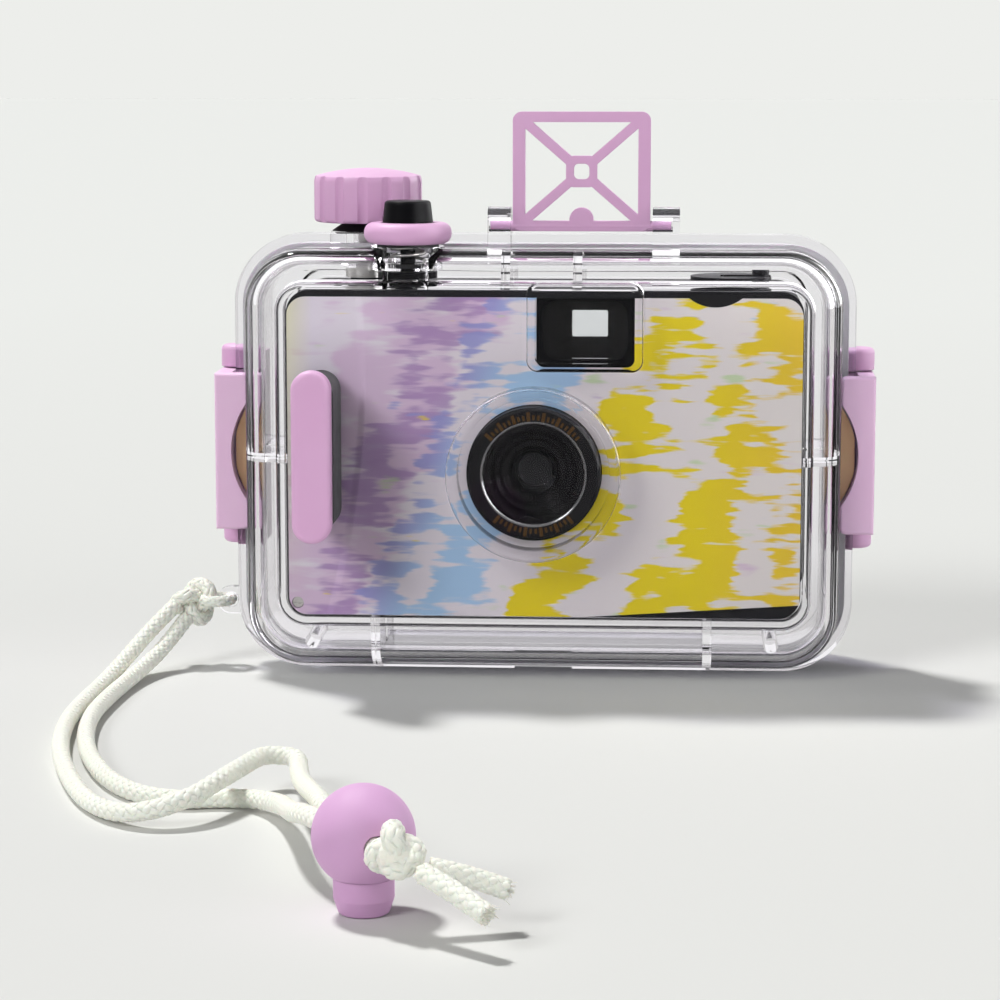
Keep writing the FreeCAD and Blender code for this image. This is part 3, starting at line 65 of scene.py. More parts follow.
# %% The view
view_turn = math.radians(3.4)
view_rise = math.radians(8.5)
view_distance = 600 * mm
aim = Vector((-9.04, 0, 34.22)) * mm
sight_line = Vector((
    -math.sin(view_turn) * math.cos(view_rise),
    math.cos(view_turn) * math.cos(view_rise),
    -math.sin(view_rise)))
lens = bpy.data.cameras.new("photo_lens")
lens.sensor_width = 36
lens.lens = 105.84
lens.clip_start = 0.01
photographer = bpy.data.objects.new("photo_camera", lens)
photographer.location = aim - sight_line * view_distance
photographer.rotation_euler = sight_line.to_track_quat("-Z", "Y").to_euler()
bpy.context.scene.collection.objects.link(photographer)
bpy.context.scene.camera = photographer
bpy.context.scene.view_settings.view_transform = "Standard"
bpy.context.scene.cycles.max_bounces = 32
bpy.context.scene.cycles.transmission_bounces = 32
bpy.context.scene.cycles.transparent_max_bounces = 32
print("lens", lens.lens, "mm at", tuple(round(c, 3) for c in photographer.location))

# %% [markdown]
# ## The wrist cord
# A braided cord is tied in the housing's lug, runs out in two strands over the table, and ends
# in a ball stopper and a knot. Each strand follows a smooth spline through the same route as
# its solid. The braid itself is modelled, because at this size each yarn shows: six yarns wind
# to the left, six to the right, and each goes over and under the ones it meets.

# %% Routes of the two strands, in millimetres
cord_width = 3.3
floor = cord_width / 2
route_a = [
    (-75.3, -4.2, 12.6), (-79.1, -8.8, 9.0), (-83.0, -17.2, 4.4), (-85.4, -30.5, floor),
    (-86.1, -48.0, floor), (-85.8, -66.0, floor), (-82.2, -89.0, floor), (-75.0, -112.0, floor),
    (-69.6, -124.4, floor), (-63.4, -132.4, 2.0), (-57.2, -134.8, 3.2), (-51.2, -131.8, 4.8),
    (-47.6, -124.6, 6.1), (-45.0, -114.4, 6.1), (-43.3, -106.2, 5.9), (-37.2, -106.0, 5.6),
    (-36.0, -114.5, 5.4), (-34.2, -126.0, 6.4), (-31.0, -141.5, 8.9), (-28.0, -154.0, 10.8),
    (-25.32, -164.99, 11.5), (-19.85, -173.36, 11.5)]
route_b = [
    (-73.1, -4.4, 9.9), (-76.2, -9.2, 5.6), (-79.2, -17.0, 2.7), (-81.2, -29.0, floor), (-82.2, -45.0, floor),
    (-82.2, -62.0, floor), (-78.6, -84.0, floor), (-71.6, -104.5, floor), (-64.2, -116.8, floor),
    (-56.2, -121.8, floor), (-48.0, -119.6, floor), (-41.6, -121.6, 2.0), (-37.0, -129.6, 3.4),
    (-33.8, -142.5, 5.6), (-31.6, -155.8, 8.8), (-28.13, -166.83, 11.5), (-22.66, -175.20, 11.5)]
tail_a = [(-7.75, -188.23, 9.44), (-2.38, -187.31, 8.22), (3.0, -186.4, 6.0)]
tail_b = [(-8.61, -191.50, 9.56), (-3.80, -195.55, 8.28), (1.0, -199.6, 6.0)]


def smooth_line(points):
    """Points in metres along the NURBS spline whose control points are given in millimetres."""
    curve = bpy.data.curves.new("route", "CURVE")
    curve.dimensions = "3D"
    curve.resolution_u = 16
    spline = curve.splines.new("NURBS")
    spline.points.add(len(points) - 1)
    for point, place in zip(spline.points, points):
        point.co = (place[0] * mm, place[1] * mm, place[2] * mm, 1)
    spline.order_u = 3
    spline.use_endpoint_u = True
    holder = bpy.data.objects.new("route", curve)
    traced = bpy.data.meshes.new_from_object(holder)
    line = np.array([v.co for v in traced.vertices])
    bpy.data.objects.remove(holder)
    bpy.data.curves.remove(curve)
    bpy.data.meshes.remove(traced)
    return line


def evenly(line, step):
    """The same line with points a step apart."""
    along = np.concatenate([[0], np.cumsum(np.linalg.norm(np.diff(line, axis=0), axis=1))])
    count = max(4, int(round(along[-1] / step)))
    places = np.linspace(0, along[-1], count + 1)
    return np.stack([np.interp(places, along, line[:, i]) for i in range(3)], axis=1), along[-1]


lines = {name: smooth_line(route) for name, route in (("a", route_a), ("b", route_b))}
for name, line in lines.items():
    print("strand", name, "is", round(evenly(line, 0.001)[1] * 1000, 1), "mm long")

# %% The braid


def carried_frames(line):
    """A direction across the line at each point, carried along without twist."""
    tangents = np.gradient(line, axis=0)
    tangents /= np.linalg.norm(tangents, axis=1)[:, None]
    across = np.cross(tangents[0], [0.0, 0.1, 1.0])
    across /= np.linalg.norm(across)
    sides = []
    for tangent in tangents:
        across = across - tangent * across.dot(tangent)
        across /= np.linalg.norm(across)
        sides.append(across)
    sides = np.array(sides)
    return tangents, sides, np.cross(tangents, sides)


def yarn_tube(line, outward, half_width, half_height, ring):
    """Vertices of one flattened yarn: an ellipse carried along its line."""
    tangents = np.gradient(line, axis=0)
    tangents /= np.linalg.norm(tangents, axis=1)[:, None]
    sideways = np.cross(tangents, outward)
    sideways /= np.linalg.norm(sideways, axis=1)[:, None]
    turn = np.linspace(0, 2 * math.pi, ring, endpoint=False)
    rings = line[:, None, :] + sideways[:, None, :] * (half_width * np.cos(turn))[None, :, None]
    return rings + outward[:, None, :] * (half_height * np.sin(turn))[None, :, None]


def braided(name, line, width, pitch=12.0, yarns=6, closed=False, ring=6):
    """A mesh of a braided cord along a line: yarns both ways round a plain core."""
    places, length = evenly(line, 0.26 * mm)
    if closed:
        turns = max(1, round(length / (pitch * mm)))
        pitch = length / turns / mm
    tangents, side, up = carried_frames(places)
    along = np.linspace(0, length, len(places))
    scale = width / 2.9
    radius = 1.03 * mm * scale
    wave = 0.12 * mm * scale
    verts = []
    faces = []
    uvs = []
    tubes = []
    for way in (1, -1):
        lift = way * wave * np.cos(2 * math.pi * yarns * along / (pitch * mm))
        for k in range(yarns):
            angle = way * 2 * math.pi * along / (pitch * mm) + 2 * math.pi * k / yarns
            outward = side * np.cos(angle)[:, None] + up * np.sin(angle)[:, None]
            centre = places + outward * (radius + lift)[:, None]
            tubes.append((centre, outward, 0.6 * mm * scale, 0.3 * mm * scale))
    tubes.append((places, side, 0.85 * mm * scale, 0.85 * mm * scale))
    for centre, outward, half_width, half_height in tubes:
        base = len(verts)
        rings = yarn_tube(centre, outward, half_width, half_height, ring)
        count = len(centre)
        verts.extend(rings.reshape(-1, 3).tolist())
        for i in range(count - 1):
            for j in range(ring):
                nxt = (j + 1) % ring
                here = base + i * ring
                faces.append((here + j, here + nxt, here + ring + nxt, here + ring + j))
                uvs.extend([
                    (along[i] / mm, j / ring), (along[i] / mm, (j + 1) / ring),
                    (along[i + 1] / mm, (j + 1) / ring), (along[i + 1] / mm, j / ring)])
        for start in (base, base + (count - 1) * ring):
            cap = [start + j for j in range(ring)]
            faces.append(tuple(cap if start > base else reversed(cap)))
            uvs.extend([(0, 0)] * ring)
    mesh = bpy.data.meshes.new(name)
    mesh.from_pydata(verts, [], faces)
    layer = mesh.uv_layers.new(name="yarn")
    layer.data.foreach_set("uv", np.array(uvs, dtype=np.float32).ravel())
    mesh.shade_smooth()
    made = bpy.data.objects.new(name, mesh)
    bpy.context.scene.collection.objects.link(made)
    return made, length


cord_pieces = []
for name in ("a", "b"):
    strand, length = braided("cord_strand_" + name, lines[name], cord_width)
    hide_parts("strap_strand_" + name)
    cord_pieces.append(strand)
    print(strand.name, len(strand.data.polygons), "faces")

# %% [markdown]
# ## The springs
# The button and the stopper's plunger each press on a spring. Each spring's solid is hidden and a copy of its
# mesh, carried by the housing, stands in its place; the travel of the part that presses on it is listed
# beside it.

# %% Springs
springs = {}
for name, joint, fixed_end, travel in (
        ("button_spring", "shutter_slide", 0, 1.5), ("stopper_spring", "plunger_slide", 1, 2.0)):
    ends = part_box(name)
    reach = ends[1].z - ends[0].z
    spring = bpy.data.objects.new(name + "_wire", nodes[name].data.copy())
    spring.matrix_world = nodes[name].matrix_world
    bpy.context.scene.collection.objects.link(spring)
    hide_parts(name)
    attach(spring, "housing")
    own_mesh(spring)
    springs[name] = spring
    print(spring.name, "is", round(reach / mm, 2), "mm long and shortens by", travel)

# %% [markdown]
# ## The knots and the cut ends
# A knot is the same cord passed round itself, so it is braided along the line of a trefoil, the
# shape of a pulled-tight overhand knot. The end knot has a round core, so that no light shows
# through it, and two short bits of cord fill the ball's hole. The cut ends fray a little.

# %% Knots, loop and tails


def knot_line(centre, size, depth, lean, twist):
    """A trefoil about a centre, in metres."""
    t = np.linspace(0, 2 * math.pi, 241)
    x = np.sin(t) + 2 * np.sin(2 * t)
    y = np.cos(t) - 2 * np.cos(2 * t)
    z = -np.sin(3 * t)
    flat = np.stack([x * size, z * depth, y * size * 0.94], axis=1)
    for axis, amount in ((1, twist), (2, lean)):
        c, s = math.cos(amount), math.sin(amount)
        a, b = [(1, 2), (0, 2), (0, 1)][axis]
        turned = flat.copy()
        turned[:, a] = flat[:, a] * c - flat[:, b] * s
        turned[:, b] = flat[:, a] * s + flat[:, b] * c
        flat = turned
    return (np.array(centre) + flat) * mm


lug_loop_middle = (-67.25, -1.7, 13.4)
lug_loop_radius = 2.95
hole_height = 11.5
hole_exit = (-11.7, -188.9, hole_height)
hole_offset = 1.68
lug_knot_line = knot_line((-71.7, -2.0, 12.8), 1.32, 1.75, 0.3, 0.5)
lug_knot = braided("knot_at_lug", lug_knot_line, 3.0, closed=True)[0]
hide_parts("lug_knot")
turn = np.linspace(0, 2 * math.pi, 97)
loop_line = np.stack([
    lug_loop_middle[0] + lug_loop_radius * np.cos(turn),
    lug_loop_middle[1] + lug_loop_radius * np.sin(turn),
    lug_loop_middle[2] + 0 * turn], axis=1) * mm
lug_loop = braided("loop_in_lug", loop_line, 2.4, pitch=9.0, closed=True)[0]
end_knot_line = knot_line((-12.9, -187.6, 11.5), 1.05, 1.6, -0.6, 1.2)
end_knot = braided("knot_behind_ball", end_knot_line, 3.4, closed=True)[0]
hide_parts("end_knot")
ball_low, ball_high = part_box("stopper_ball")
ball_middle = Vector(((ball_low.x + ball_high.x) / 2, (ball_low.y + ball_high.y) / 2, hole_height * mm)) / mm
through = (Vector(hole_exit) - ball_middle).normalized()
beside = Vector((through.y, -through.x, 0)) * hole_offset
bits = []
for name, shift in (("a", beside), ("b", -beside)):
    mouth = [
        ball_middle + through * reach + shift * (1 - max(0, reach - 6.5) * 0.12)
        for reach in (5.1, 6.6, 8.1, 9.6)]
    bits.append(braided("cord_in_ball_" + name, smooth_line([tuple(p) for p in mouth]), 3.2)[0])
core = bpy.data.meshes.new("knot_core")
core_middle = (-12.7, -187.8, 11.2)
core_radius = 3.0
around = 16
levels = 9
core_points = []
for v in np.linspace(-1.45, 1.45, levels):
    for u in np.linspace(0, 2 * math.pi, around, endpoint=False):
        turned = (math.cos(u) * math.cos(v), math.sin(u) * math.cos(v), math.sin(v))
        core_points.append(tuple((c + core_radius * t) * mm for c, t in zip(core_middle, turned)))
core_faces = []
for first in range(0, around * (levels - 1), around):
    for j in range(around):
        nxt = (j + 1) % around
        core_faces.append((first + j, first + nxt, first + around + nxt, first + around + j))
core_faces.append(tuple(range(around - 1, -1, -1)))
core_faces.append(tuple(range(around * (levels - 1), around * levels)))
core.from_pydata(core_points, [], core_faces)
core.uv_layers.new(name="yarn")
knot_core = bpy.data.objects.new("knot_core", core)
bpy.context.scene.collection.objects.link(knot_core)
cord_pieces += [lug_knot, lug_loop, end_knot] + bits + [knot_core]
for name, route in (("a", tail_a), ("b", tail_b)):
    tail = braided("cord_tail_" + name, smooth_line(route), cord_width)[0]
    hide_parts("strap_tail_" + name)
    cord_pieces.append(tail)
    tip = Vector(route[-1]) * mm
    way = (tip - Vector(route[-2]) * mm).normalized()
    spread = np.random.default_rng(7 if name == "a" else 11)
    fibres = bpy.data.curves.new("fibres_" + name, "CURVE")
    fibres.dimensions = "3D"
    fibres.bevel_depth = 0.045 * mm
    fibres.bevel_resolution = 1
    for i in range(46):
        off = Vector(spread.normal(0, 0.62, 3)) * mm
        off -= way * off.dot(way)
        reach = spread.uniform(0.3, 1.3) * mm
        fibre = fibres.splines.new("POLY")
        fibre.points.add(2)
        places = [
            tip + off - way * 0.6 * mm, tip + off * 1.15 + way * reach * 0.5, tip + off * 1.4 + way * reach]
        for point, place in zip(fibre.points, places):
            point.co = (*place, 1)
    holder = bpy.data.objects.new("fibres", fibres)
    fibre_piece = bpy.data.objects.new("cord_fibres_" + name, bpy.data.meshes.new_from_object(holder))
    bpy.data.objects.remove(holder)
    bpy.data.curves.remove(fibres)
    bpy.context.scene.collection.objects.link(fibre_piece)
    cord_pieces.append(fibre_piece)
for piece in cord_pieces:
    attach(piece, "housing")
print("cord pieces", [p.name for p in cord_pieces])

# %% [markdown]
# ## Colour and node helpers
# Colours are written as sRGB hex, as a paint chart gives them, and one function turns them
# into the linear numbers that shaders use. One small function adds a shader node.

# %% Helpers


def paint(code):
    """sRGB hex to linear red, green, blue, alpha."""
    parts = [int(code[i:i + 2], 16) / 255 for i in (1, 3, 5)]
    return tuple(c / 12.92 if c <= 0.04045 else ((c + 0.055) / 1.055) ** 2.4 for c in parts) + (1.0,)


def add(tree, kind, inputs=None, **settings):
    """One shader node with its settings; an input is a value or the socket that feeds it."""
    made = tree.nodes.new(kind)
    for name, value in settings.items():
        setattr(made, name, value)
    for name, value in (inputs or {}).items():
        if isinstance(value, bpy.types.NodeSocket):
            tree.links.new(value, made.inputs[name])
        else:
            made.inputs[name].default_value = value
    return made


def per_metre(size_mm):
    """Texture scale that gives features of this size."""
    return 1000 / size_mm


def new_finish(name):
    finish = bpy.data.materials.new(name)
    finish.use_nodes = True
    finish.node_tree.nodes.clear()
    return finish, finish.node_tree


def between(tree, low, high, factor):
    """Two colours mixed by a pattern."""
    mix = add(tree, "ShaderNodeMix", data_type="RGBA")
    for socket, value in ((mix.inputs[6], low), (mix.inputs[7], high), (mix.inputs[0], factor)):
        if isinstance(value, bpy.types.NodeSocket):
            tree.links.new(value, socket)
        else:
            socket.default_value = value
    return mix.outputs[2]


# %% [markdown]
# ## The studio
# The table and the background are the same pale grey, almost white. The main soft light comes
# from behind on the left and throws the dark shadow in front of the housing. A lower one from the
# front left models the face and throws a long shadow to the right. All are suns, which light the
# far table as much as the near, so that no horizon shows. A third, weak one lifts the right
# latch. The sky fills the rest. The photograph shows deep black gloss, as through a polarising
# filter. So what gloss mirrors is a room of its own: dim behind the viewer, brighter behind the
# object and overhead, with a bright wall on the right that draws the crescent on the lens ring,
# and three soft boxes that draw the highlights. A ray that met only clear plastic sees the pale
# backdrop.

# %% Floor, sky and lamps
pale = "#EDEEEB"
table_finish, tree = new_finish("paper sweep, matte")
place = add(tree, "ShaderNodeTexCoord").outputs["Object"]
depth = add(tree, "ShaderNodeSeparateXYZ", {0: place}).outputs["Y"]
# Painted shade: the table's colour is written a little darker towards the front than at the back.
nearer_painted_shade = add(tree, "ShaderNodeMapRange", {
    "Value": depth, "From Min": 0.9, "From Max": -0.2, "To Min": 0.0, "To Max": 1.0}).outputs[0]
tone = between(tree, paint("#E5E7E5"), paint("#E0E1DF"), nearer_painted_shade)
# Painted dim reflection: where the table is seen in a reflection, its colour is a darker grey.
reflected_painted_darker = add(tree, "ShaderNodeMath", {
    0: add(tree, "ShaderNodeLightPath").outputs["Glossy Depth"], 1: 0.5}, operation="GREATER_THAN").outputs[0]
surface = add(tree, "ShaderNodeBsdfDiffuse", {"Color": between(tree, tone, paint("#CFCFCE"), reflected_painted_darker)})
add(tree, "ShaderNodeOutputMaterial", {"Surface": surface.outputs[0]})
table_mesh = bpy.data.meshes.new("table")
half = 9.0
below = -0.05 * mm
table_mesh.from_pydata(
    [(-half, -half, below), (half, -half, below), (half, half, below), (-half, half, below)],
    [], [(0, 1, 2, 3)])
table_mesh.materials.append(table_finish)
table = bpy.data.objects.new("table", table_mesh)
bpy.context.scene.collection.objects.link(table)

sky = bpy.data.worlds.new("studio")
bpy.context.scene.world = sky
sky.use_nodes = True
tree = sky.node_tree
tree.nodes.clear()
ray = add(tree, "ShaderNodeLightPath")
mirrored, scattered = (
    add(tree, "ShaderNodeMath", {0: ray.outputs[kind], 1: 0.5}, operation="GREATER_THAN").outputs[0]
    for kind in ("Glossy Depth", "Diffuse Depth"))
heading = add(tree, "ShaderNodeTexCoord").outputs["Generated"]
direction = add(tree, "ShaderNodeSeparateXYZ", {0: heading})
rearward = add(tree, "ShaderNodeMapRange", {
    "Value": direction.outputs["Y"], "From Min": -0.55, "From Max": 0.2, "To Min": 0.6, "To Max": 1.0})
overhead = add(tree, "ShaderNodeMapRange", {
    "Value": direction.outputs["Z"], "From Min": 0.25, "From Max": 0.9, "To Min": 0.0, "To Max": 0.5})
right_wall = add(tree, "ShaderNodeMapRange", {
    "Value": direction.outputs["X"], "From Min": 0.5, "From Max": 0.8, "To Min": 0.0, "To Max": 7.0})
glow = rearward.outputs[0]
for part in (overhead, right_wall):
    glow = add(tree, "ShaderNodeMath", {0: glow, 1: part.outputs[0]}, operation="ADD").outputs[0]


def soft_box(towards, near, far, strength):
    """Bright patch of the room round one direction, with a soft edge."""
    aimed = Vector(towards).normalized()
    facing = add(tree, "ShaderNodeVectorMath", {0: heading, 1: aimed[:]}, operation="DOT_PRODUCT")
    return add(tree, "ShaderNodeMapRange", {
        "Value": facing.outputs["Value"], "From Min": math.cos(math.radians(far)),
        "From Max": math.cos(math.radians(near)), "To Min": 0.0, "To Max": strength}).outputs[0]


soft_boxes = (
    ((-0.62, -0.55, 0.56), 8, 11, 5.0), ((0.75, -0.3, 0.5), 5, 9, 1.6), ((0.5, -0.05, 0.86), 10, 28, 4.0))
for box in soft_boxes:
    glow = add(tree, "ShaderNodeMath", {0: glow, 1: soft_box(*box)}, operation="ADD").outputs[0]
frontal = add(tree, "ShaderNodeMapRange", {
    "Value": direction.outputs["Y"], "From Min": 0.1, "From Max": -0.4, "To Min": 0.03, "To Max": 0.3})
fill = add(tree, "ShaderNodeBackground", {"Color": (0.975, 0.985, 1.0, 1), "Strength": frontal.outputs[0]})
mirror_room = add(tree, "ShaderNodeBackground", {"Color": (1, 1, 1, 1), "Strength": glow})
backdrop = add(tree, "ShaderNodeBackground", {"Color": paint(pale), "Strength": 1.0})
straight = add(tree, "ShaderNodeMixShader", {0: mirrored, 1: backdrop.outputs[0], 2: mirror_room.outputs[0]})
all_rays = add(tree, "ShaderNodeMixShader", {0: scattered, 1: straight.outputs[0], 2: fill.outputs[0]})
add(tree, "ShaderNodeOutputWorld", {"Surface": all_rays.outputs[0]})


def sun(name, towards, energy, colour, spread):
    """A far lamp that shines from a direction; spread is how soft its shadow is, in degrees."""
    data = bpy.data.lights.new(name, "SUN")
    data.energy = energy
    data.color = colour
    data.angle = math.radians(spread)
    made = bpy.data.objects.new(name, data)
    made.rotation_euler = Vector(towards).to_track_quat("Z", "Y").to_euler()
    bpy.context.scene.collection.objects.link(made)


sun("back_above", (-0.36, 0.37, 1.0), 2.4, (1.0, 0.99, 0.975), 7)
sun("front_left", (-1.0, -1.1, 1.0), 1.15, (1.0, 0.995, 0.985), 22)
sun("right_fill", (1.0, -0.6, 0.3), 0.4, (1.0, 1.0, 1.0), 40)

# %% [markdown]
# ## Clear polycarbonate
# The housing is injection-moulded polycarbonate from a polished mould. It is quite clear, with
# a trace of grey, a high gloss and a refractive index of 1.585. Handling leaves hairline
# scratches, which dull it a little. Glass would block the lamps in this kind of render, so its
# shadow is let through by a plain see-through shader for shadow rays only.

# %% The clear housing


def clear_plastic(name, tint, ior, rough, scratch_mm, shade):
    finish, tree = new_finish(name)
    place = add(tree, "ShaderNodeTexCoord").outputs["Object"]
    hairs = add(tree, "ShaderNodeTexNoise", {
        "Vector": place, "Scale": per_metre(scratch_mm), "Detail": 4, "Distortion": 3.0})
    dulled = add(tree, "ShaderNodeMapRange", {
        "Value": hairs.outputs["Fac"], "From Min": 0.45, "From Max": 0.75,
        "To Min": rough, "To Max": rough + 0.05})
    flow = add(tree, "ShaderNodeTexNoise", {"Vector": place, "Scale": per_metre(26), "Detail": 1})
    bump = add(tree, "ShaderNodeBump", {"Height": flow.outputs["Fac"], "Strength": 0.05, "Distance": 0.002})
    body = add(tree, "ShaderNodeBsdfPrincipled", {
        "Base Color": paint(tint), "Roughness": dulled.outputs[0], "IOR": ior, "Transmission Weight": 1.0,
        "Specular Tint": (0.1, 0.1, 0.1, 1), "Normal": bump.outputs[0]})
    passing = add(tree, "ShaderNodeBsdfTransparent", {"Color": paint(shade)})
    ray = add(tree, "ShaderNodeLightPath")
    both = add(tree, "ShaderNodeMixShader", {
        0: ray.outputs["Is Shadow Ray"], 1: body.outputs[0], 2: passing.outputs[0]})
    add(tree, "ShaderNodeOutputMaterial", {"Surface": both.outputs[0]})
    return finish


polycarbonate = clear_plastic("polycarbonate, polished mould", "#FAF9FB", 1.585, 0.015, 9, "#DDDCE1")
lens_acrylic = clear_plastic("acrylic lens, polished", "#F4F6F6", 1.49, 0.0, 9, "#F2F3F3")

# %% [markdown]
# ## Moulded plastics and rubbers
# The latches, knob, sight and ball are ABS moulded in lilac, with a satin skin that is a little
# uneven in gloss. The film camera's body is black ABS with a fine spark-eroded texture. Seals
# are silicone and nitrile rubber. One recipe serves them all: a colour with faint mottling, a
# roughness that varies, a fine grain as bump, and edges rounded by a hair in the shading.

# %% Moulded skin


def moulded(name, colour, mottled, roughness, grain_mm, grain_height, edge_mm=0.25, glow=0.0, shine=0.5,
            polished_to=None):
    finish, tree = new_finish(name)
    place = add(tree, "ShaderNodeTexCoord").outputs["Object"]
    cloud = add(tree, "ShaderNodeTexNoise", {"Vector": place, "Scale": per_metre(14), "Detail": 3})
    tone = between(tree, paint(colour), paint(mottled), cloud.outputs["Fac"])
    worn = add(tree, "ShaderNodeTexNoise", {"Vector": place, "Scale": per_metre(4), "Detail": 5})
    gloss = add(tree, "ShaderNodeMapRange", {
        "Value": worn.outputs["Fac"], "From Min": 0.3, "From Max": 0.7,
        "To Min": roughness - 0.05, "To Max": roughness + 0.07})
    grain = add(tree, "ShaderNodeTexNoise", {"Vector": place, "Scale": per_metre(grain_mm), "Detail": 2})
    edge = add(tree, "ShaderNodeBevel", {"Radius": edge_mm * mm}, samples=4)
    bump = add(tree, "ShaderNodeBump", {
        "Height": grain.outputs["Fac"], "Strength": 0.6, "Distance": grain_height * mm,
        "Normal": edge.outputs[0]})
    body = add(tree, "ShaderNodeBsdfPrincipled", {
        "Base Color": tone, "Roughness": gloss.outputs[0], "IOR": 1.53, "Specular IOR Level": shine,
        "Normal": bump.outputs[0]})
    if polished_to:
        off = add(tree, "ShaderNodeVectorMath", {0: place, 1: polished_to[0]}, operation="SUBTRACT")
        flat = add(tree, "ShaderNodeVectorMath", {0: off.outputs[0], 1: (1, 0, 1)}, operation="MULTIPLY")
        away = add(tree, "ShaderNodeVectorMath", {0: flat.outputs[0]}, operation="LENGTH").outputs["Value"]
        inside = add(tree, "ShaderNodeMath", {0: away, 1: polished_to[1]}, operation="LESS_THAN").outputs[0]
        body.inputs["Coat IOR"].default_value = 1.9
        body.inputs["Coat Roughness"].default_value = 0.12
        for socket, plain, bright in (
                ("Roughness", gloss.outputs[0], 0.12), ("Specular IOR Level", shine, 1.0),
                ("Coat Weight", 0.0, 1.0)):
            chosen = add(tree, "ShaderNodeMapRange", {"Value": inside, "To Max": bright, "To Min": plain})
            tree.links.new(chosen.outputs[0], body.inputs[socket])
    if glow:
        body.inputs["Subsurface Weight"].default_value = glow
        body.inputs["Subsurface Scale"].default_value = 0.001
        body.inputs["Subsurface Radius"].default_value = (1.0, 0.6, 0.9)
    add(tree, "ShaderNodeOutputMaterial", {"Surface": body.outputs[0]})
    return finish


lilac_abs = moulded("ABS, lilac, satin moulded", "#DBA9D3", "#E1B3DA", 0.46, 0.5, 0.012, glow=0.12)
# Painted light: the latches are the knob's lilac ABS, written lighter to make up for the shade they stand in.
lilac_latch_painted_lighter = moulded("ABS, lilac painted lighter, satin moulded", "#EDC3E6", "#F0CBEA", 0.46, 0.5, 0.012, glow=0.12)
lilac_rubbery = moulded("ABS, lilac, matte moulded", "#CF9FCC", "#D4A8D1", 0.6, 0.4, 0.015, glow=0.12)
black_abs = moulded("ABS, black, spark-textured", "#17171A", "#1C1C20", 0.42, 0.35, 0.02, shine=0.12)
gloss_black_abs = moulded("ABS, black, polished", "#08080A", "#0D0D10", 0.16, 0.9, 0.003, shine=0.12)
satin_black_abs = moulded("ABS, black, satin", "#08080A", "#0D0D10", 0.36, 0.4, 0.006, shine=0.05)
matte_black_abs = moulded("ABS, black, matte", "#08080A", "#0D0D10", 0.75, 0.4, 0.01, shine=0.02)
bezel_low, bezel_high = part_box("lens_bezel")
bevel_radius = 10.45
bezel_abs = moulded(
    "ABS, black, satin with polished bevel", "#0B0B0D", "#111114", 0.34, 0.4, 0.006, edge_mm=0.05, shine=0.12,
    polished_to=(tuple((bezel_low + bezel_high) / 2), bevel_radius * mm))
white_styrene = moulded("polystyrene, white, moulded", "#EDEBE4", "#E6E4DC", 0.4, 0.6, 0.01)
nitrile = moulded("nitrile rubber, black, moulded", "#141416", "#1D1D1F", 0.62, 0.3, 0.03)
amber_silicone = moulded("silicone rubber, amber, moulded", "#EBC49B", "#E3B98C", 0.5, 0.4, 0.01, glow=0.3)
seal_silicone = moulded(
    "silicone rubber, clear grey, moulded", "#D2D1D2", "#C8C7CA", 0.45, 0.6, 0.01, glow=0.2)

# %% [markdown]
# ## Steel and yarn
# The pins, springs and stem are stainless steel, turned and drawn, so fine rings and streaks
# run round them. The cord is twisted polyester yarn: matte, faintly silky, cream white, with
# fibres that run along each yarn.

# %% Steel and yarn


def steel(name, colour, roughness, metallic=1.0):
    finish, tree = new_finish(name)
    place = add(tree, "ShaderNodeTexCoord").outputs["Object"]
    drawn = add(tree, "ShaderNodeMapping", {"Vector": place, "Scale": (900, 900, 9000)})
    rings = add(tree, "ShaderNodeTexNoise", {"Vector": drawn.outputs[0], "Scale": 1.0, "Detail": 3})
    gloss = add(tree, "ShaderNodeMapRange", {
        "Value": rings.outputs["Fac"], "To Min": roughness - 0.08, "To Max": roughness + 0.12})
    bump = add(tree, "ShaderNodeBump", {"Height": rings.outputs["Fac"], "Strength": 0.3, "Distance": 0.00001})
    body = add(tree, "ShaderNodeBsdfPrincipled", {
        "Base Color": paint(colour), "Roughness": gloss.outputs[0], "Metallic": metallic,
        "Normal": bump.outputs[0]})
    add(tree, "ShaderNodeOutputMaterial", {"Surface": body.outputs[0]})
    return finish


stainless = steel("stainless steel, turned", "#C9C8C4", 0.28)
blackened = steel("spring steel, blackened", "#2A2A2C", 0.4)


def yarn_finish():
    finish, tree = new_finish("polyester yarn, braided")
    run = add(tree, "ShaderNodeUVMap", uv_map="yarn").outputs["UV"]
    stretched = add(tree, "ShaderNodeMapping", {
        "Vector": run, "Scale": (0.7, 14, 1), "Rotation": (0, 0, 0.12)})
    fibres = add(tree, "ShaderNodeTexNoise", {"Vector": stretched.outputs[0], "Scale": 1.6, "Detail": 4})
    tone = between(tree, paint("#EFEDDF"), paint("#FBFAF2"), fibres.outputs["Fac"])
    bump = add(tree, "ShaderNodeBump", {
        "Height": fibres.outputs["Fac"], "Strength": 0.6, "Distance": 0.00008})
    body = add(tree, "ShaderNodeBsdfPrincipled", {
        "Base Color": tone, "Roughness": 0.62, "Sheen Weight": 0.25, "Sheen Roughness": 0.4,
        "Subsurface Weight": 0.15, "Subsurface Scale": 0.0006, "Normal": bump.outputs[0]})
    add(tree, "ShaderNodeOutputMaterial", {"Surface": body.outputs[0]})
    return finish


yarn = yarn_finish()
for piece in cord_pieces:
    piece.data.materials.append(yarn)
print("finishes", len(bpy.data.materials))

# %% [markdown]
# ## The dyed print on the camera's face
# The face is a printed film in a common tie-dye pattern. Dye drawn into folded cloth makes
# leaning bands of lilac, violet, blue and yellow on pale cloth, whose edges run out sideways in
# streaks. Each dye has a ramp across the face that says how much of the cloth it takes, and
# noises of its own, blots and streaks stretched sideways, that say where it soaked in.

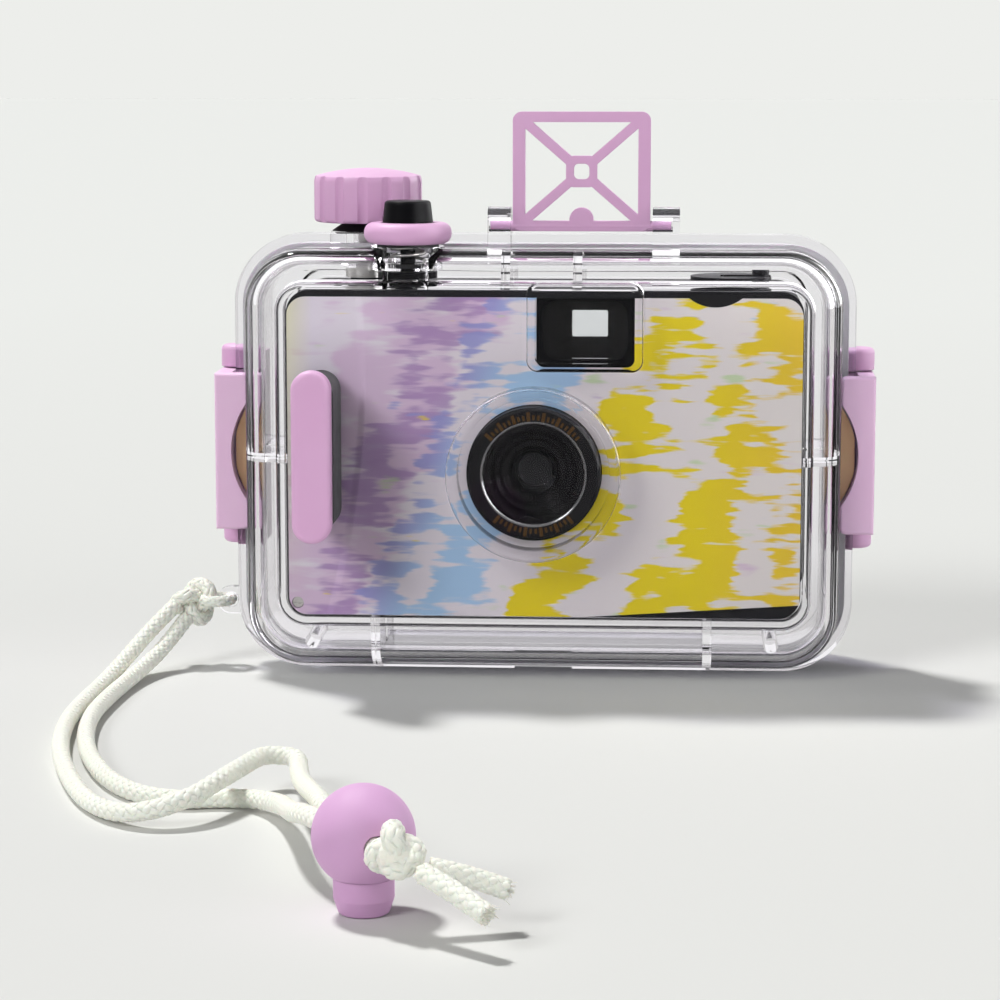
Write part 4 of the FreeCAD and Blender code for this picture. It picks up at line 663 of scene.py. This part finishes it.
# %% Tie-dye print
face_low, face_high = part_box("print_panel")
face_width = (face_high.x - face_low.x) / mm
face_mid = (face_high.z + face_low.z) / 2
print("face", round(face_width, 1), "mm wide")
lilac_wash = [(0.0, 0.2), (0.04, 0.85), (0.22, 0.9), (0.30, 0.3), (0.36, 0.0)]
violet_dye = [(0.06, 0.0), (0.13, 0.45), (0.17, 0.62), (0.24, 0.6), (0.29, 0.25), (0.33, 0.0)]
blue_dye = [
    (0.22, 0.0), (0.27, 0.68), (0.32, 0.66), (0.36, 0.3), (0.40, 0.7), (0.46, 0.74), (0.50, 0.4), (0.54, 0.0)]
yellow_dye = [
    (0.52, 0.0), (0.58, 0.7), (0.66, 0.74), (0.71, 0.42), (0.76, 0.3), (0.81, 0.6), (0.86, 0.78), (0.91, 0.7),
    (0.96, 0.4), (1.03, 0.55)]
green_dye = [(0.48, 0.0), (0.53, 0.35), (0.57, 0.0), (0.74, 0.0), (0.80, 0.42), (0.84, 0.0)]
crease_x = -0.0352
crease_z = 0.062
crease_bend = -2.9


def dyed_print():
    finish, tree = new_finish("printed polyester film, satin")
    place = add(tree, "ShaderNodeTexCoord").outputs["Object"]
    split = add(tree, "ShaderNodeSeparateXYZ", {0: place})

    def maths(kind, a, b):
        return add(tree, "ShaderNodeMath", {0: a, 1: b}, operation=kind).outputs[0]

    def streaks(wide_mm, tall_mm, shift, detail):
        scaled = add(tree, "ShaderNodeMapping", {
            "Vector": place, "Location": (shift, 0, shift),
            "Scale": (per_metre(wide_mm), 0, per_metre(tall_mm))})
        return add(tree, "ShaderNodeTexNoise", {
            "Vector": scaled.outputs[0], "Scale": 1.0, "Detail": detail, "Roughness": 0.55}).outputs["Fac"]

    def ramped(stops, place_along):
        """A grey ramp along a coordinate, from (position, value) pairs."""
        ramp = add(tree, "ShaderNodeValToRGB", {"Fac": place_along})
        elements = ramp.color_ramp.elements
        for element, stop in ((elements[0], stops[0]), (elements[1], stops[-1])):
            element.position, element.color = min(stop[0], 1.0), (stop[1], stop[1], stop[1], 1)
        for position, value in stops[1:-1]:
            elements.new(position).color = (value, value, value, 1)
        return ramp.outputs[0]

    def soaked(stops, leaning, shift, edge):
        """Where a dye has soaked in: its share along the face against blots and sideways streaks."""
        blots = maths("MULTIPLY", maths("SUBTRACT", streaks(12, 7, shift, 1), 0.5), 3.4)
        runs = maths("MULTIPLY", maths("SUBTRACT", streaks(10, 1.7, shift + 4.3, 2), 0.5), 2.6)
        share = maths("SUBTRACT", maths("MULTIPLY", ramped(stops, leaning), 1.7), 0.55)
        reached = maths("ADD", share, maths("ADD", blots, runs))
        soft = add(tree, "ShaderNodeMapRange", {
            "Value": reached, "From Min": 0.5 - edge, "From Max": 0.5 + edge},
            interpolation_type="SMOOTHSTEP")
        return soft.outputs[0]

    across = maths("MULTIPLY", maths("SUBTRACT", split.outputs["X"], face_low.x), 1 / (face_width * mm))
    lean = maths("MULTIPLY", maths("SUBTRACT", split.outputs["Z"], face_mid), -0.42 / (face_width * mm))
    leaning = maths("ADD", across, lean)
    high = add(tree, "ShaderNodeMapRange", {
        "Value": split.outputs["Z"], "From Min": face_low.z, "From Max": face_high.z}).outputs[0]
    cloth_tone = between(tree, paint("#EAE3EC"), paint("#EDE8E2"), across)
    wash = maths("MULTIPLY", soaked(lilac_wash, leaning, 2.2, 0.5), 0.9)
    tone = between(tree, cloth_tone, paint("#DDC2DB"), wash)
    violet = between(tree, paint("#B694C4"), paint("#A27DB8"), streaks(6, 2, 17.0, 1))
    tone = between(tree, tone, violet, maths("MULTIPLY", soaked(violet_dye, leaning, 7.3, 0.28), 0.8))
    sky_blue = between(tree, paint("#9A9DD6"), paint("#A2CDEE"), ramped([(0.28, 0.0), (0.36, 1.0)], leaning))
    tone = between(tree, tone, sky_blue, maths("MULTIPLY", soaked(blue_dye, leaning, 12.9, 0.22), 0.9))
    green = soaked(green_dye, leaning, 19.1, 0.3)
    tone = between(tree, tone, paint("#C6DFA8"), maths("MULTIPLY", green, 0.8))
    warm = ramped([(0.80, 0.0), (1.0, 1.0)], across)
    yellow = between(tree, paint("#F0DA00"), paint("#F0CC30"), warm)
    tone = between(tree, tone, yellow, soaked(yellow_dye, leaning, 27.7, 0.16))
    trace = maths("MULTIPLY", ramped([(0.0, 0.6), (0.05, 0.0)], across), high)
    tone = between(tree, tone, paint("#E3E69A"), trace)
    above = maths("SUBTRACT", split.outputs["Z"], crease_z)
    beside = maths("SUBTRACT", split.outputs["X"], crease_x)
    crease = maths("SUBTRACT", beside, maths("MULTIPLY", maths("MULTIPLY", above, above), crease_bend))
    fold = add(tree, "ShaderNodeMapRange", {
        "Value": crease, "From Min": -0.0009, "From Max": 0.0009}, interpolation_type="SMOOTHSTEP").outputs[0]
    cloth = add(tree, "ShaderNodeTexNoise", {"Vector": place, "Scale": per_metre(0.5), "Detail": 2})
    folded = add(tree, "ShaderNodeBump", {"Height": fold, "Strength": 1.0, "Distance": 0.0004})
    bump = add(tree, "ShaderNodeBump", {
        "Height": cloth.outputs["Fac"], "Strength": 0.3, "Distance": 0.00001, "Normal": folded.outputs[0]})
    body = add(tree, "ShaderNodeBsdfPrincipled", {
        "Base Color": tone, "Roughness": 0.42, "IOR": 1.5, "Normal": bump.outputs[0]})
    add(tree, "ShaderNodeOutputMaterial", {"Surface": body.outputs[0]})
    return finish


dye = dyed_print()

# %% [markdown]
# ## Gold marks on the lens ring
# The ring round the lens has small gold marks, foil-stamped in two arcs. They are plain index
# ticks here, long and short by turns, thin plates laid on the ring's flat face.

# %% Index ticks
ring_mid = Vector(((bezel_low.x + bezel_high.x) / 2, bezel_low.y, (bezel_low.z + bezel_high.z) / 2))
verts = []
faces = []
for start, end, step in ((-50, 50, 5.0), (141, 219, 5.2)):
    count = int(round((end - start) / step)) + 1
    for k in range(count):
        angle = math.radians(start + k * step)
        outward = Vector((math.sin(angle), 0, math.cos(angle)))
        sideways = Vector((math.cos(angle), 0, -math.sin(angle)))
        inner = 10.75 if k % 3 else 10.55
        outer = 11.75 if k % 3 else 12.35
        width = 0.24 if k % 3 else 0.34
        base = len(verts)
        for up in (-0.004, 0.02):
            for r, side in ((inner, -width), (inner, width), (outer, width), (outer, -width)):
                verts.append(ring_mid + (outward * r + sideways * side) * mm - Vector((0, up * mm, 0)))
        faces += [
            (base, base + 1, base + 2, base + 3), (base + 7, base + 6, base + 5, base + 4),
            (base, base + 4, base + 5, base + 1), (base + 1, base + 5, base + 6, base + 2),
            (base + 2, base + 6, base + 7, base + 3), (base + 3, base + 7, base + 4, base)]
marks_mesh = bpy.data.meshes.new("ring_marks")
marks_mesh.from_pydata(verts, [], faces)
marks = bpy.data.objects.new("ring_marks", marks_mesh)
bpy.context.scene.collection.objects.link(marks)
gold_foil = steel("foil stamping, gold", "#4E3614", 0.42, metallic=0.75)
marks_mesh.materials.append(gold_foil)
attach(marks, "housing")
print("ticks", len(faces) // 6)

# %% [markdown]
# ## Every piece gets its finish
# The solids keep their shapes, and each gets the finish of the material it is made of.

# %% Finishes on the solids
finishes = {
    polycarbonate: ["front_shell", "rear_shell", "counter_window"],
    lens_acrylic: ["finder_lens", "eyepiece_lens", "front_element", "rear_element"],
    # The latches get the lilac written lighter, as painted light.
    lilac_latch_painted_lighter: ["latch_left", "latch_right"],
    lilac_abs: [
        "latch_bracket_left", "latch_bracket_right", "grip_cap", "sight_frame", "button_collar", "wind_knob"],
    lilac_rubbery: ["stopper_ball", "stopper_plunger"],
    black_abs: [
        "camera_chassis", "top_cover", "back_door", "front_cover", "shutter_plate",
        "camera_button", "take_up_spool", "advance_wheel", "sprocket_shaft", "rewind_crank"],
    gloss_black_abs: ["lens_barrel"],
    satin_black_abs: ["button_cap", "button_plunger"],
    matte_black_abs: ["finder_tunnel", "lens_board"],
    bezel_abs: ["lens_bezel"],
    nitrile: ["grip_block", "button_washer", "button_seal", "wind_washer"],
    amber_silicone: ["latch_pad_left", "latch_pad_right"],
    seal_silicone: ["shell_gasket"],
    stainless: [
        "latch_pin_left", "latch_pin_right", "button_spring", "wind_shaft", "door_pin",
        "cover_screw", "pressure_plate", "plate_spring", "rewind_shaft", "stopper_spring"],
    blackened: ["shutter_blade"],
    white_styrene: ["counter_dial"],
    dye: ["print_panel"],
    yarn: ["lug_knot", "strap_strand_a", "strap_strand_b", "end_knot", "strap_tail_a", "strap_tail_b"],
}
given = []
for finish, names in finishes.items():
    for name in names:
        solid = nodes[name]
        solid.data.materials.clear()
        solid.data.materials.append(finish)
        given.append(name)
for spring in springs.values():
    spring.data.materials.clear()
    spring.data.materials.append(stainless)
print("solids without a finish:", sorted(set(nodes) - set(given)))
